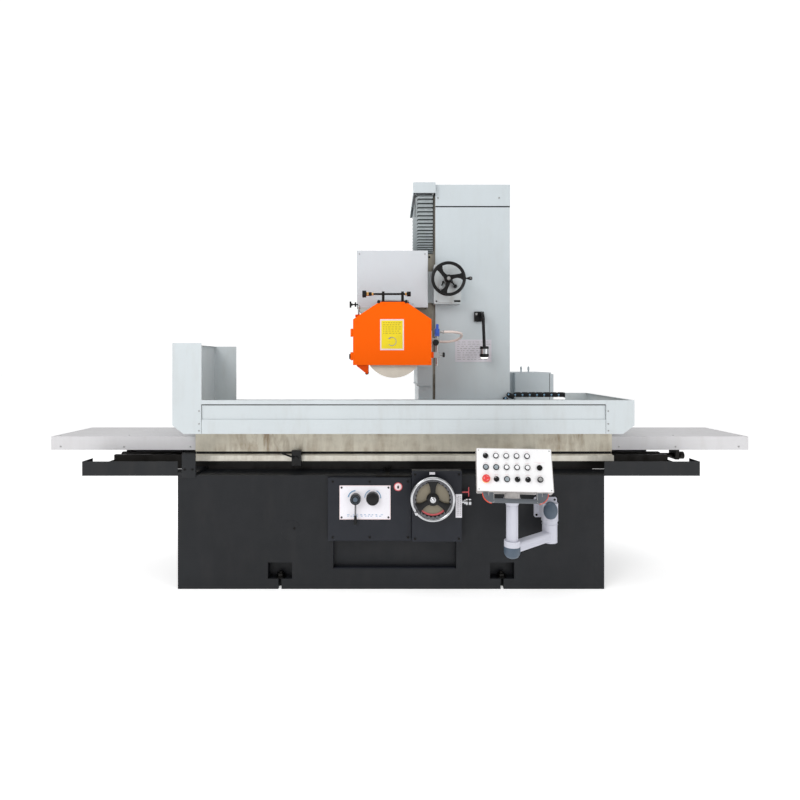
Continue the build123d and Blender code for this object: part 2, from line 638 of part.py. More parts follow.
def make_way_covers():
    """Two sheet covers on the ends of the table, which keep the ways covered at both ends of the stroke."""
    covers = []
    half = WING_DEPTH / 2
    for side, start, length in ((-1, TABLE_LEFT, WING_LEFT_LENGTH), (1, TABLE_RIGHT, WING_RIGHT_LENGTH)):
        x0, x1 = sorted((start, start + side * length))
        cover = block(x0, x1, -half, half, WING_TOP - WING_HEIGHT, WING_TOP)
        inside_end = x0 + SHEET if side < 0 else x1 - SHEET
        c0, c1 = sorted((start - side * 1, inside_end))
        cover -= block(c0, c1, -half + SHEET, half - SHEET, WING_TOP - WING_HEIGHT - 1, WING_TOP - SHEET)
        covers.append(cover)
    return covers


def make_table_cylinder():
    """The double-rod hydraulic cylinder between the ways, on two feet."""
    half = CYLINDER_LENGTH / 2
    tube = rod_x(CYLINDER_R, -half, half, 0, CYLINDER_Z)
    tube -= rod_x(ROD_R + RUNNING_GAP, -half - 1, half + 1, 0, CYLINDER_Z)
    for side in (-1, 1):
        x = side * (half - 60)
        foot = block(x - 30, x + 30, -50, 50, BED_HEIGHT + 10, CYLINDER_Z - 10)
        tube += foot - rod_x(CYLINDER_R - 1, x - 31, x + 31, 0, CYLINDER_Z)
    return tube


def make_piston_rod():
    """The piston rod with a hanger at each end, bolted under the table's ends."""
    rod = rod_x(ROD_R, TABLE_X - ROD_REACH, TABLE_X + ROD_REACH, 0, CYLINDER_Z)
    pieces = [rod]
    hanger_top = WING_TOP - WING_HEIGHT - 2
    for side, start in ((-1, TABLE_LEFT), (1, TABLE_RIGHT)):
        end = TABLE_X + side * ROD_REACH
        x0, x1 = sorted((start, end - side * 20))
        beam = block(x0, x1, -45, 45, hanger_top - 22, hanger_top)
        p0, p1 = sorted((end - side * 20, end - side * 44))
        plate = block(p0, p1, -45, 45, CYLINDER_Z - 22, hanger_top - 22)
        pieces.append(beam + plate - rod_x(ROD_R, x0 - 1, x1 + 1, 0, CYLINDER_Z))
        n0, n1 = sorted((end, end + side * 26))
        pieces[0] += rod_x(ROD_R + 9, n0, n1, 0, CYLINDER_Z)
    return pieces


# ---- column ---------------------------------------------------------------------------------------
def make_column():
    """The column casting: a hollow box with two vertical ways on its left side and bearings for the screw."""
    base = REAR_BED_HEIGHT
    box = block(COLUMN_LEFT, COLUMN_RIGHT, COLUMN_FRONT, COLUMN_BACK, base, COLUMN_TOP)
    box -= block(
        COLUMN_LEFT + COLUMN_WALL, COLUMN_RIGHT - COLUMN_WALL, COLUMN_FRONT + COLUMN_WALL,
        COLUMN_BACK - COLUMN_WALL, base + COLUMN_FOOT, COLUMN_TOP - COLUMN_WALL,
    )
    for y in (FRONT_RAIL_Y, REAR_RAIL_Y):
        box += block(RAIL_LEFT, COLUMN_LEFT, y, y + COLUMN_RAIL_DEPTH, base, COLUMN_TOP)
    inner0, inner1 = FRONT_RAIL_Y + COLUMN_RAIL_DEPTH, REAR_RAIL_Y
    for z0, z1 in ((base, base + COLUMN_FOOT), (COLUMN_TOP - 60, COLUMN_TOP - 10)):
        shelf = block(RAIL_LEFT, COLUMN_LEFT, inner0, inner1, z0, z1)
        shelf -= rod_z(SCREW_R + RUNNING_GAP, max(z0, base + 15), z1 + 1, SCREW_X, RAIL_MID_Y)
        box += shelf
    return box


def make_column_covers():
    """Sheet covers: the column's wrap-round cover, its top cap and the cap over the vertical ways."""
    t = SHEET
    wrap = block(SHELL_LEFT, SHELL_RIGHT, SHELL_FRONT, SHELL_BACK, REAR_BED_HEIGHT + 1, SHELL_SEAM_Z)
    wrap -= block(
        SHELL_LEFT - 1, SHELL_RIGHT - t, SHELL_FRONT + t, SHELL_BACK - t, REAR_BED_HEIGHT, SHELL_SEAM_Z + 1
    )
    cap = block(SHELL_LEFT, SHELL_RIGHT + 2, SHELL_FRONT - 2, SHELL_BACK + 2, SHELL_SEAM_Z, SHELL_TOP)
    cap -= block(
        SHELL_LEFT - 1, SHELL_RIGHT + 2 - t, SHELL_FRONT - 2 + t, SHELL_BACK + 2 - t,
        SHELL_SEAM_Z - 1, SHELL_TOP - t,
    )
    way_left, way_right = RAIL_LEFT - WAY_HOOD_SIDE, SHELL_LEFT - 1
    way_front, way_back = FRONT_RAIL_Y - 62, REAR_RAIL_Y + COLUMN_RAIL_DEPTH + 60
    bottom, top = COLUMN_TOP + WAY_HOOD_BOTTOM, COLUMN_TOP + WAY_HOOD_TOP
    hood = block(way_left, way_right, way_front, way_back, bottom, top)
    hood -= block(way_left + t, way_right + 1, way_front + t, way_back - t, bottom - 1, top - t)
    return [wrap, cap, hood]


def bellows_section(depth):
    """The plan outline of a cover that wraps the front and left side of the vertical ways."""
    front, left = FRONT_RAIL_Y - 6, RAIL_LEFT - 6
    back = REAR_RAIL_Y + COLUMN_RAIL_DEPTH
    return [
        (COLUMN_LEFT - WAY_COVER_GAP, front - depth), (left - depth, front - depth), (left - depth, back),
        (left, back), (left, front), (COLUMN_LEFT - WAY_COVER_GAP, front),
    ]


def make_upper_bellows():
    """The folded cover of the ways above the carriage, as the closed shape that its folds fill."""
    return prism_z(bellows_section(26), CARRIAGE_TOP + 8, COLUMN_TOP + 3)


def make_lower_cover_base():
    """The fixed lower section of the telescopic cover below the carriage."""
    outline = bellows_section(4)
    return prism_z(outline, REAR_BED_HEIGHT + 2, SADDLE_BOTTOM - 188)


def make_lower_cover_top():
    """The moving section of the telescopic cover, hung from the carriage."""
    right = COLUMN_LEFT - WAY_COVER_GAP - 4
    front, left = FRONT_RAIL_Y - 14, RAIL_LEFT - 14
    back = REAR_RAIL_Y + COLUMN_RAIL_DEPTH
    outline = [
        (right, front - 4), (left - 4, front - 4), (left - 4, back), (left, back), (left, front),
        (right, front),
    ]
    cover = prism_z(outline, 1150, SADDLE_BOTTOM)
    band = [(right, front - 9), (left - 9, front - 9), (left - 9, back), (left - 4, back),
            (left - 4, front - 4), (right, front - 4)]
    return cover + prism_z(band, SADDLE_BOTTOM - 270, SADDLE_BOTTOM - 235) + prism_z(band, 1150, 1162)


def make_elevating_screw():
    """The elevating screw that stands between the ways, with its drive gear on top."""
    screw = rod_z(SCREW_R, REAR_BED_HEIGHT + 16, COLUMN_TOP + 20, SCREW_X, RAIL_MID_Y)
    return screw + rod_z(52, COLUMN_TOP - 9, COLUMN_TOP + 20, SCREW_X, RAIL_MID_Y)


# ---- carriage -------------------------------------------------------------------------------------
def dovetail(gap, z0, z1):
    """The (x, z) outline of the cross slide's dovetail, grown by gap on each flank."""
    n, f = DOVETAIL_NECK / 2 + gap, DOVETAIL_FLARE / 2 + gap
    x = SPINDLE_X
    return [(x - n, z0), (x + n, z0), (x + f, z1), (x - f, z1)]


def make_carriage():
    """The carriage casting: a hollow beam over the wheelhead and a saddle that grips the column's ways."""
    beam = block(
        CARRIAGE_LEFT, CARRIAGE_BEAM_RIGHT, CARRIAGE_FRONT, CARRIAGE_BACK, CARRIAGE_BOTTOM, CARRIAGE_TOP,
    )
    beam -= block(
        CARRIAGE_LEFT + 26, CARRIAGE_BEAM_RIGHT - 26, CARRIAGE_FRONT + 26, CARRIAGE_BACK - 26,
        CARRIAGE_BOTTOM + DOVETAIL_HEIGHT + 30, CARRIAGE_TOP - 24,
    )
    beam -= prism_y(
        dovetail(0, CARRIAGE_BOTTOM, CARRIAGE_BOTTOM + DOVETAIL_HEIGHT), CARRIAGE_FRONT - 1, CARRIAGE_BACK + 1
    )
    y0 = FRONT_RAIL_Y - SLIDE_GAP
    y1 = REAR_RAIL_Y + COLUMN_RAIL_DEPTH + SLIDE_GAP
    top = CARRIAGE_TOP
    g0, g1 = y0 - SADDLE_GIB, y1 + SADDLE_GIB
    saddle = block(CARRIAGE_BEAM_RIGHT, RAIL_LEFT - SLIDE_GAP, g0, g1, SADDLE_BOTTOM, top)
    for g0, g1 in ((y0 - SADDLE_GIB, y0), (y1, y1 + SADDLE_GIB)):
        saddle += block(CARRIAGE_BEAM_RIGHT, SADDLE_REACH, g0, g1, SADDLE_BOTTOM, top)
    nut_z = (CARRIAGE_BOTTOM + CARRIAGE_TOP) / 2
    nut = block(RAIL_LEFT - SLIDE_GAP, SCREW_X + 48, RAIL_MID_Y - 60, RAIL_MID_Y + 60, nut_z - 60, nut_z + 60)
    nut -= rod_z(SCREW_R + RUNNING_GAP, nut_z - 61, nut_z + 61, SCREW_X, RAIL_MID_Y)
    return beam + saddle + nut


def make_carriage_cover():
    """The sheet hood over the front, left side and top of the carriage."""
    t = SHEET
    top = CARRIAGE_TOP + 1 + t
    left = CARRIAGE_LEFT - 2 - t
    bottom = CARRIAGE_BOTTOM - 3
    hood = block(left, HOOD_RIGHT, HOOD_FRONT, FRONT_RAIL_Y - 46, bottom, top)
    hood += block(left, CARRIAGE_BEAM_RIGHT, HOOD_FRONT, CARRIAGE_BACK, bottom, top)
    hood = fillet(hood.edges().filter_by(Axis.Z).sort_by(Axis.Y)[0:2], 10)
    hood -= block(left + t, HOOD_RIGHT - t, HOOD_FRONT + t, FRONT_RAIL_Y - 45, bottom - 1, top - t)
    hood -= block(left + t, CARRIAGE_BEAM_RIGHT + 1, HOOD_FRONT + t, CARRIAGE_BACK + 1, bottom - 1, top - t)
    half = DOVETAIL_FLARE / 2 + 2
    slide_top = CARRIAGE_BOTTOM + DOVETAIL_HEIGHT + 1
    return hood - block(SPINDLE_X - half, SPINDLE_X + half, HOOD_FRONT - 1, HOOD_FRONT + t, bottom, slide_top)


def make_crossfeed_gearbox():
    """The cross feed gear case on the right of the carriage, with its mounting flange and two shift pins."""
    case = block(
        CROSS_BOX_LEFT, CROSS_BOX_RIGHT, CROSS_BOX_FRONT, CROSS_BOX_BACK, CROSS_BOX_BOTTOM, CROSS_BOX_TOP,
    )
    case = soften(case, Axis.Y, 10)
    flange_y = FRONT_RAIL_Y - SLIDE_GAP - SADDLE_GIB
    case += block(
        HOOD_RIGHT + 2, CROSS_BOX_LEFT + 2, flange_y - 22, flange_y, CROSS_BOX_BOTTOM + 14, CROSS_BOX_TOP - 40
    )
    case -= rod_y(
        CROSS_SHAFT_R + RUNNING_GAP, CROSS_BOX_FRONT - 1, CROSS_BOX_FRONT + 60, CROSS_WHEEL_X, CROSS_WHEEL_Z
    )
    pin_x, pin_z = CROSS_WHEEL_X - 52, CROSS_WHEEL_Z - 54
    case += rod_y(7, CROSS_BOX_FRONT - 26, CROSS_BOX_FRONT, pin_x, pin_z)
    return case + rod_y(12, CROSS_BOX_FRONT - 46, CROSS_BOX_FRONT - 26, pin_x, pin_z)


def make_cross_handwheel():
    """The cross feed handwheel, with its crank grip folded out past the rim."""
    wheel = hand_wheel(
        CROSS_WHEEL_X, CROSS_WHEEL_Y, CROSS_WHEEL_Z, CROSS_WHEEL_R, 11, CROSS_SHAFT_R, CROSS_BOX_FRONT + 56,
        25, 3, 5, 26,
    )
    rim = CROSS_WHEEL_X + CROSS_WHEEL_R
    wheel += rod_x(6, rim - 8, rim + 22, CROSS_WHEEL_Y, CROSS_WHEEL_Z)
    grip = Pos(rim + 34, CROSS_WHEEL_Y, CROSS_WHEEL_Z) * Sphere(13)
    wheel += rod_y(30, CROSS_WHEEL_Y + 30, CROSS_BOX_FRONT - 1, CROSS_WHEEL_X, CROSS_WHEEL_Z)
    return wheel + grip


# ---- wheelhead ------------------------------------------------------------------------------------
def make_wheelhead():
    """The wheelhead casting: the spindle housing, the body above it and the dovetail slide."""
    body = rod_y(HOUSING_R, GUARD_BACK, HOUSING_BACK, SPINDLE_X, SPINDLE_Z)
    top = CARRIAGE_BOTTOM - 4
    body += block(SPINDLE_X - 130, SPINDLE_X + 130, GUARD_BACK + 40, MOTOR_BACK - 60, SPINDLE_Z + 60, top)
    body -= rod_y(MOTOR_R + 1, HOUSING_BACK, MOTOR_BACK, SPINDLE_X, SPINDLE_Z)
    body -= block(
        SPINDLE_X - 106, SPINDLE_X + 106, GUARD_BACK + 66, HOUSING_BACK - 60,
        SPINDLE_Z + HOUSING_R + 25, top - 30,
    )
    tongue = prism_y(
        dovetail(-SLIDE_GAP, CARRIAGE_BOTTOM - 0.01, CARRIAGE_BOTTOM + DOVETAIL_HEIGHT - SLIDE_GAP),
        GUARD_BACK + 40, MOTOR_BACK - 60,
    )
    neck = block(
        SPINDLE_X - DOVETAIL_NECK / 2 + SLIDE_GAP, SPINDLE_X + DOVETAIL_NECK / 2 - SLIDE_GAP,
        GUARD_BACK + 40, MOTOR_BACK - 60, top - 1, CARRIAGE_BOTTOM,
    )
    body += neck + tongue
    body -= rod_y(SPINDLE_R + RUNNING_GAP, GUARD_BACK - 1, HOUSING_BACK + 1, SPINDLE_X, SPINDLE_Z)
    return body


def make_spindle_motor():
    """The flange motor behind the wheelhead, with cooling fins and a terminal box."""
    motor = rod_y(MOTOR_R - 12, MOTOR_FRONT, MOTOR_BACK, SPINDLE_X, SPINDLE_Z)
    motor += rod_y(MOTOR_R, MOTOR_FRONT, MOTOR_FRONT + 30, SPINDLE_X, SPINDLE_Z)
    motor += rod_y(MOTOR_R, MOTOR_BACK - 70, MOTOR_BACK, SPINDLE_X, SPINDLE_Z)
    for i in range(20):
        a = 18 * i
        fin = Pos(SPINDLE_X, (MOTOR_FRONT + MOTOR_BACK - 40) / 2, SPINDLE_Z) * Rot(0, a, 0)
        motor += fin * Pos(0, 0, MOTOR_R - 12) * Box(5, MOTOR_LENGTH - 98, 20)
    motor -= rod_y(SPINDLE_R + RUNNING_GAP, MOTOR_FRONT - 1, MOTOR_BACK - 120, SPINDLE_X, SPINDLE_Z)
    return motor


def make_spindle():
    """The wheel spindle, from the wheel's nose to the motor's rotor."""
    nose = WHEEL_FRONT - FLANGE_THICK
    shaft = rod_y(SPINDLE_R, nose, MOTOR_BACK - 130, SPINDLE_X, SPINDLE_Z)
    return shaft + rod_y(26, nose - 10, nose, SPINDLE_X, SPINDLE_Z)


def make_wheel_flange():
    """The two-part wheel flange with its ring of balancing screws."""
    back = WHEEL_FRONT + WHEEL_WIDTH
    nose = WHEEL_FRONT - FLANGE_THICK
    hub = ring_y(WHEEL_BORE_R, SPINDLE_R, nose, back + FLANGE_THICK, SPINDLE_X, SPINDLE_Z)
    front = ring_y(FLANGE_R, SPINDLE_R, nose, WHEEL_FRONT, SPINDLE_X, SPINDLE_Z)
    rear = ring_y(FLANGE_R, SPINDLE_R, back, back + FLANGE_THICK, SPINDLE_X, SPINDLE_Z)
    flange = hub + front + rear
    for i in range(6):
        a = math.radians(60 * i)
        x, z = SPINDLE_X + 80 * math.cos(a), SPINDLE_Z + 80 * math.sin(a)
        flange -= rod_y(5, nose - 1, WHEEL_FRONT - 6, x, z)
    return flange


def make_grinding_wheel():
    """The grinding wheel."""
    return ring_y(WHEEL_R, WHEEL_BORE_R, WHEEL_FRONT, WHEEL_FRONT + WHEEL_WIDTH, SPINDLE_X, SPINDLE_Z)


def guard_outline(inset):
    """The (x, z) outline of the wheel guard, moved in by inset except along its open foot."""
    return [
        (GUARD_LEFT + inset, GUARD_BOTTOM), (GUARD_LEFT + inset, GUARD_SHOULDER - inset / 2),
        (GUARD_CROWN_LEFT + inset / 2, GUARD_TOP - inset), (GUARD_CROWN_RIGHT - inset / 2, GUARD_TOP - inset),
        (GUARD_RIGHT - inset, GUARD_SHOULDER - inset / 2), (GUARD_RIGHT - inset, GUARD_BOTTOM),
    ]


def make_wheel_guard():
    """The wheel guard's shell, open at the front and foot, and the splash flap on its lower left corner."""
    shell = prism_y(guard_outline(0), GUARD_FRONT, GUARD_BACK)
    cavity = guard_outline(GUARD_WALL)
    cavity[0], cavity[-1] = (cavity[0][0], GUARD_BOTTOM - 1), (cavity[-1][0], GUARD_BOTTOM - 1)
    shell -= prism_y(cavity, GUARD_FRONT - 1, GUARD_BACK - GUARD_WALL)
    shell -= rod_y(SPINDLE_R + 12, GUARD_BACK - GUARD_WALL - 1, GUARD_BACK + 1, SPINDLE_X, SPINDLE_Z)
    flap = prism_y(
        [
            (GUARD_LEFT + 24, GUARD_BOTTOM), (GUARD_LEFT + 24, GUARD_BOTTOM - 6),
            (GUARD_LEFT + 92, GUARD_BOTTOM - 60), (GUARD_LEFT + 102, GUARD_BOTTOM - 54),
            (GUARD_LEFT + 102, GUARD_BOTTOM),
        ],
        GUARD_FRONT + 6, GUARD_BACK - 10,
    )
    return [shell, flap]


def make_guard_door():
    """The guard's hinged front door, with its hinge knuckles on the left and clamp screws at its edges."""
    gap = 0.6
    face = prism_y(guard_outline(0), GUARD_FRONT - gap - DOOR_THICK, GUARD_FRONT - gap)
    y0, y1 = GUARD_FRONT - gap - DOOR_THICK, GUARD_FRONT - gap
    for z in (GUARD_BOTTOM + 60, GUARD_SHOULDER - 90):
        face += rod_z(8, z - 26, z + 26, GUARD_LEFT - 9, y1 - DOOR_THICK / 2)
        face += block(GUARD_LEFT - 9, GUARD_LEFT + 1, y0, y1, z - 26, z + 26)
    return face


def make_coolant_valve():
    """The coolant pipe on the guard's right side, held by two clamp blocks, with the valve body on top."""
    pipe = rod_z(PIPE_R, GUARD_BOTTOM - 6, VALVE_Z + 40, PIPE_X, PIPE_Y)
    for z, reach in ((1470, 14), (1376, 20)):
        pipe += block(GUARD_RIGHT, PIPE_X + reach, PIPE_Y - 16, PIPE_Y + 16, z - 20, z + 20)
    pipe += block(PIPE_X - 17, PIPE_X + 17, PIPE_Y - 15, PIPE_Y + 15, VALVE_Z - 30, VALVE_Z + 22)
    pipe += rod_x(7, PIPE_X + 17, HOSE_POINTS[0][0] - 1, PIPE_Y, VALVE_Z)
    pipe += rod_x(6, PIPE_X + 20, PIPE_X + 38, PIPE_Y, 1376)
    pipe += rod_x(15, PIPE_X + 38, PIPE_X + 52, PIPE_Y, 1376)
    pipe += rod_y(6, PIPE_Y - 34, PIPE_Y - 16, PIPE_X - 12, 1458)
    pipe += rod_y(19, PIPE_Y - 50, PIPE_Y - 34, PIPE_X - 12, 1458)
    end_x, end_y, end_z = HOSE_POINTS[-1]
    return [pipe, rod_x(8, SPINDLE_X + 130, end_x - 5, end_y, end_z)]


def make_valve_lever():
    """The quarter-turn lever of the coolant valve."""
    y = PIPE_Y - 15
    lever = rod_y(7, y - 12, y - 0.5, PIPE_X, VALVE_Z)
    handle = block(PIPE_X - 9, PIPE_X + 9, y - 18, y - 12, VALVE_Z - 12, VALVE_Z + 52)
    return lever + soften(handle, Axis.Y, 6)


def make_hose():
    """The coolant hose, looped from the valve to the wheelhead."""
    runs = [math.dist(a, b) for a, b in zip(HOSE_POINTS, HOSE_POINTS[1:])]
    radii = []
    for i in range(1, len(HOSE_POINTS) - 1):
        before = Vector(HOSE_POINTS[i]) - Vector(HOSE_POINTS[i - 1])
        after = Vector(HOSE_POINTS[i + 1]) - Vector(HOSE_POINTS[i])
        turn = math.radians(before.get_angle(after))
        radii.append(0.45 * min(runs[i - 1], runs[i]) / math.tan(turn / 2))
    path = FilletPolyline(*HOSE_POINTS, radius=radii)
    section = Plane(origin=HOSE_POINTS[0], z_dir=path % 0) * Circle(HOSE_R)
    hose = sweep(section, path=path)
    print("hose runs", [round(r) for r in runs], "radii", [round(r) for r in radii])
    print("hose length", round(path.length))
    return hose


def make_dresser():
    """The wheel dresser's guide: a bracket, a cross rod and its clamp, fixed on top of the guard."""
    z = DRESSER_Z
    y = (GUARD_FRONT + GUARD_BACK) / 2
    x0, x1 = GUARD_CROWN_LEFT - DRESSER_LEFT, GUARD_CROWN_RIGHT + 12
    base = block(GUARD_CROWN_LEFT + 10, GUARD_CROWN_RIGHT - 8, y - 22, y + 22, GUARD_TOP, GUARD_TOP + 8)
    for x in (GUARD_CROWN_LEFT + 26, GUARD_CROWN_RIGHT - 24):
        base += block(x - 9, x + 9, y - 14, y + 14, GUARD_TOP + 8, z + 16)
    base += rod_x(7, x0, x1, y, z) + rod_x(17, x1 - 6, x1 + 20, y, z)
    return base + rod_x(13, x0 - 14, x0 + 22, y, z)


def make_dresser_knob():
    """The dresser's feed knob with its fluted rim."""
    z = DRESSER_Z
    y = (GUARD_FRONT + GUARD_BACK) / 2
    x0 = GUARD_CROWN_LEFT - DRESSER_LEFT - 14.5
    knob = rod_x(24, x0 - 26, x0, y, z)
    for i in range(8):
        a = math.radians(45 * i)
        knob -= rod_x(5, x0 - 27, x0 - 4, y + 26 * math.cos(a), z + 26 * math.sin(a))
    return knob


# ---- pendant --------------------------------------------------------------------------------------
def make_pendant_bracket():
    """The wall flange of the pendant arm, with the fixed half of its swivel."""
    x = PENDANT_AXIS_X
    plate = soften(block(x - 66, x + 66, BED_FRONT - 14, BED_FRONT, 424, 540), Axis.Y, 10)
    knuckle = rod_z(46, 440, 530, x, PENDANT_AXIS_Y)
    return plate + knuckle + block(x - 42, x + 42, PENDANT_AXIS_Y, BED_FRONT - 13, 446, 524)


def make_pendant_arm():
    """The horizontal arm, from the swivel collar at the wall to the elbow under the post."""
    dx, dy = POST_X - PENDANT_AXIS_X, POST_Y - PENDANT_AXIS_Y
    length = math.hypot(dx, dy)
    angle = math.degrees(math.atan2(dy, dx))
    tube = Box(length - 40, ARM_WIDTH, ARM_HEIGHT)
    tube = fillet(tube.edges().filter_by(Axis.X), 12)
    arm = Pos((POST_X + PENDANT_AXIS_X) / 2, (POST_Y + PENDANT_AXIS_Y) / 2, ARM_Z) * Rot(0, 0, angle) * tube
    arm += rod_z(ELBOW_R, ARM_Z - 36, ARM_Z + 94, PENDANT_AXIS_X, PENDANT_AXIS_Y)
    elbow = rod_z(ELBOW_R, ARM_Z - 40, ARM_Z + 40, POST_X, POST_Y)
    return arm + fillet(elbow.faces().sort_by(Axis.Z)[0].edges(), 22)


def make_pendant_post():
    """The upright post with its flared collar, fixed in the elbow."""
    post = rod_z(POST_R, ARM_Z + 40, POST_TOP, POST_X, POST_Y)
    collar = Pos(POST_X, POST_Y, POST_TOP - 12) * Cone(POST_R, 46, 24)
    return post + collar + rod_z(46, POST_TOP, POST_TOP + 12, POST_X, POST_Y)


def panel_plane():
    """The pendant's face: local x across, local y up the face and local z out of it."""
    turn, tilt = math.radians(BOX_TURN), math.radians(BOX_TILT)
    front = Vector(-math.sin(turn), -math.cos(turn), 0)
    normal = front * math.cos(tilt) + Vector(0, 0, 1) * math.sin(tilt)
    across = Vector(math.cos(turn), -math.sin(turn), 0)
    return Plane(origin=(BOX_X, BOX_Y, BOX_Z), x_dir=across, z_dir=normal)


def button_places():
    """Where each device sits on the panel: name to (x, y) on the face."""
    top, middle, bottom = BUTTON_ROWS
    column = [BUTTON_LEFT + BUTTON_PITCH * i for i in range(5)]
    return {
        "selector_1": (column[0], top),
        "button_1": (column[0], middle), "button_2": (column[1], middle), "button_3": (column[2], bottom),
        "e_stop": (column[0], bottom), "selector_2": (column[1], bottom),
        "selector_3": (column[3], bottom), "selector_4": (column[4], bottom),
        "dial_knob": (BUTTON_EXTRA_X, bottom),
    }


def lamp_places():
    """Where the pilot lamps and the key switch sit on the panel."""
    top, middle, _ = BUTTON_ROWS
    column = [BUTTON_LEFT + BUTTON_PITCH * i for i in range(5)]
    return [(x, top) for x in column[1:]] + [(x, middle) for x in column[2:]] + [(BUTTON_EXTRA_X, middle)]


def make_pendant_box():
    """The tilted control box with its device holes, its seat on the post and the grab handle in front."""
    face = panel_plane()
    body = Pos(0, 0, -BOX_DEPTH / 2) * Box(BOX_WIDTH, BOX_FACE, BOX_DEPTH)
    body = chamfer(body.faces().sort_by(Axis.Z)[0].edges(), 22)
    body = fillet(body.edges().filter_by(Axis.Z), 6)
    outside = face * body
    body -= Pos(0, 0, -BOX_DEPTH / 2) * Box(BOX_WIDTH - 50, BOX_FACE - 50, BOX_DEPTH - 8)
    for x, y in list(button_places().values()) + lamp_places():
        body -= Pos(x, y, -10) * Cylinder(BUTTON_HOLE_R, 30)
    seat = rod_z(40, POST_TOP + 12.5, BOX_Z - 60, POST_X, POST_Y) - outside
    low = -BOX_FACE / 2 - GRAB_DROP
    handle = Pos(0, low, -GRAB_R) * Rot(0, 90, 0) * Cylinder(GRAB_R, GRAB_LENGTH)
    for side in (-1, 1):
        end = block(-14, 14, low - GRAB_R, -BOX_FACE / 2, -2 * GRAB_R, 0)
        handle += Pos(side * (GRAB_LENGTH / 2 + 10), 0, 0) * soften(end, Axis.Z, 6)
    return [face * body, seat, face * handle]


def device(place, head_r, head_out, stem_in=24.0):
    """A round control device: a head in front of the panel and a stem through it."""
    x, y = place
    gap = 0.3
    shape = Pos(x, y, gap + head_out / 2) * Cylinder(head_r, head_out)
    shape += Pos(x, y, gap / 2 - stem_in / 2) * Cylinder(BUTTON_STEM_R, stem_in + gap)
    return shape


def make_button(name):
    """A push button, which slides through its bezel."""
    x, y = button_places()[name]
    return panel_plane() * Pos(x, y, -7) * Cylinder(BUTTON_STEM_R, 36)


def make_selector(name):
    """A selector switch with a raised finger bar."""
    x, y = button_places()[name]
    bar = Pos(x, y, 14) * Rot(0, 0, 45) * Box(8, 26, 12)
    return panel_plane() * (device((x, y), BUTTON_R, 8) + bar)


def make_e_stop():
    """The mushroom-head emergency stop, with its travel left free behind the head."""
    x, y = button_places()["e_stop"]
    head = Pos(x, y, 20) * Cylinder(20, 14)
    head = fillet(head.faces().sort_by(Axis.Z)[-1].edges(), 5)
    stem = Pos(x, y, -2) * Cylinder(BUTTON_STEM_R, 34)
    return panel_plane() * (head + stem)


def make_dial_knob():
    """The fluted potentiometer knob."""
    x, y = button_places()["dial_knob"]
    knob = device((x, y), 15, 15)
    for i in range(10):
        a = math.radians(36 * i)
        knob -= Pos(x + 16 * math.cos(a), y + 16 * math.sin(a), 10) * Cylinder(2.2, 16)
    return panel_plane() * knob


def make_pilot_lamps():
    """The pilot lamps in their bezels, the key switch beside them and the push buttons' bezels."""
    lamps = [panel_plane() * device(place, BUTTON_R, 9, 20) for place in lamp_places()]
    for name, (x, y) in button_places().items():
        if name.startswith("button") or name == "e_stop":
            bezel = Pos(x, y, 3) * (Cylinder(BUTTON_R + 1, 6) - Cylinder(BUTTON_HOLE_R, 7))
            lamps.append(panel_plane() * bezel)
    return lamps


# ---- lamp, cabinet, chain -------------------------------------------------------------------------
def make_lamp_base():
    """The work lamp's base on the column cover."""
    base = block(LAMP_BASE_LEFT, LAMP_BASE_RIGHT, SHELL_FRONT - 26, SHELL_FRONT, LAMP_Z - 51, LAMP_Z + 22)
    return soften(base, Axis.Y, 3)


def make_lamp_arm():
    """The work lamp: a goose-neck that comes forward and hangs down, with the lamp head at its end."""
    y0 = SHELL_FRONT - 27
    route = [
        (LAMP_X, y0 - 3, LAMP_Z), (LAMP_X, LAMP_DROP_Y, LAMP_Z + 14), (LAMP_DROP_X, LAMP_DROP_Y - 2, 1440),
    ]
    path = FilletPolyline(*route, radius=46)
    neck = sweep(Plane(origin=route[0], z_dir=path % 0) * Circle(11), path=path)
    x, y = route[-1][0], route[-1][1]
    head = rod_z(31, 1366, 1440, x, y)
    return neck + head + rod_z(24, 1356, 1366, x, y) + rod_y(16, y0 - 6, y0, LAMP_X, LAMP_Z)


def make_electrical_cabinet():
    """The electrical cabinet behind the machine: a hollow case, its door and two lifting eyes."""
    t = 2.0
    case = block(CABINET_LEFT, CABINET_RIGHT, CABINET_FRONT, CABINET_BACK, 0, CABINET_TOP)
    case = soften(case, Axis.Z, 6)
    case -= block(
        CABINET_LEFT + t, CABINET_RIGHT - t, CABINET_FRONT + t, CABINET_BACK - t, 20, CABINET_TOP - t
    )
    door = block(
        CABINET_RIGHT + 0.5, CABINET_RIGHT + 20, CABINET_FRONT + 8, CABINET_BACK - 8, 60, CABINET_TOP - 12,
    )
    pieces = [case, soften(door, Axis.X, 8)]
    for x in (CABINET_LEFT + 70, CABINET_LEFT + 130):
        eye = rod_z(6, CABINET_TOP, CABINET_TOP + 16, x, CABINET_FRONT + 90)
        eye += Pos(x, CABINET_FRONT + 90, CABINET_TOP + 30) * Rot(0, 90, 0) * Torus(15, 5)
        pieces.append(eye)
    duct_right = CABINET_LEFT - 0.5
    duct_left = REAR_BED_X + REAR_BED_WIDTH / 2 + 1
    y0, y1 = CABINET_FRONT + 60, CABINET_FRONT + 160
    pieces.append(block(duct_left, duct_right, y0, y1, 0, CABINET_TOP - 6))
    return pieces


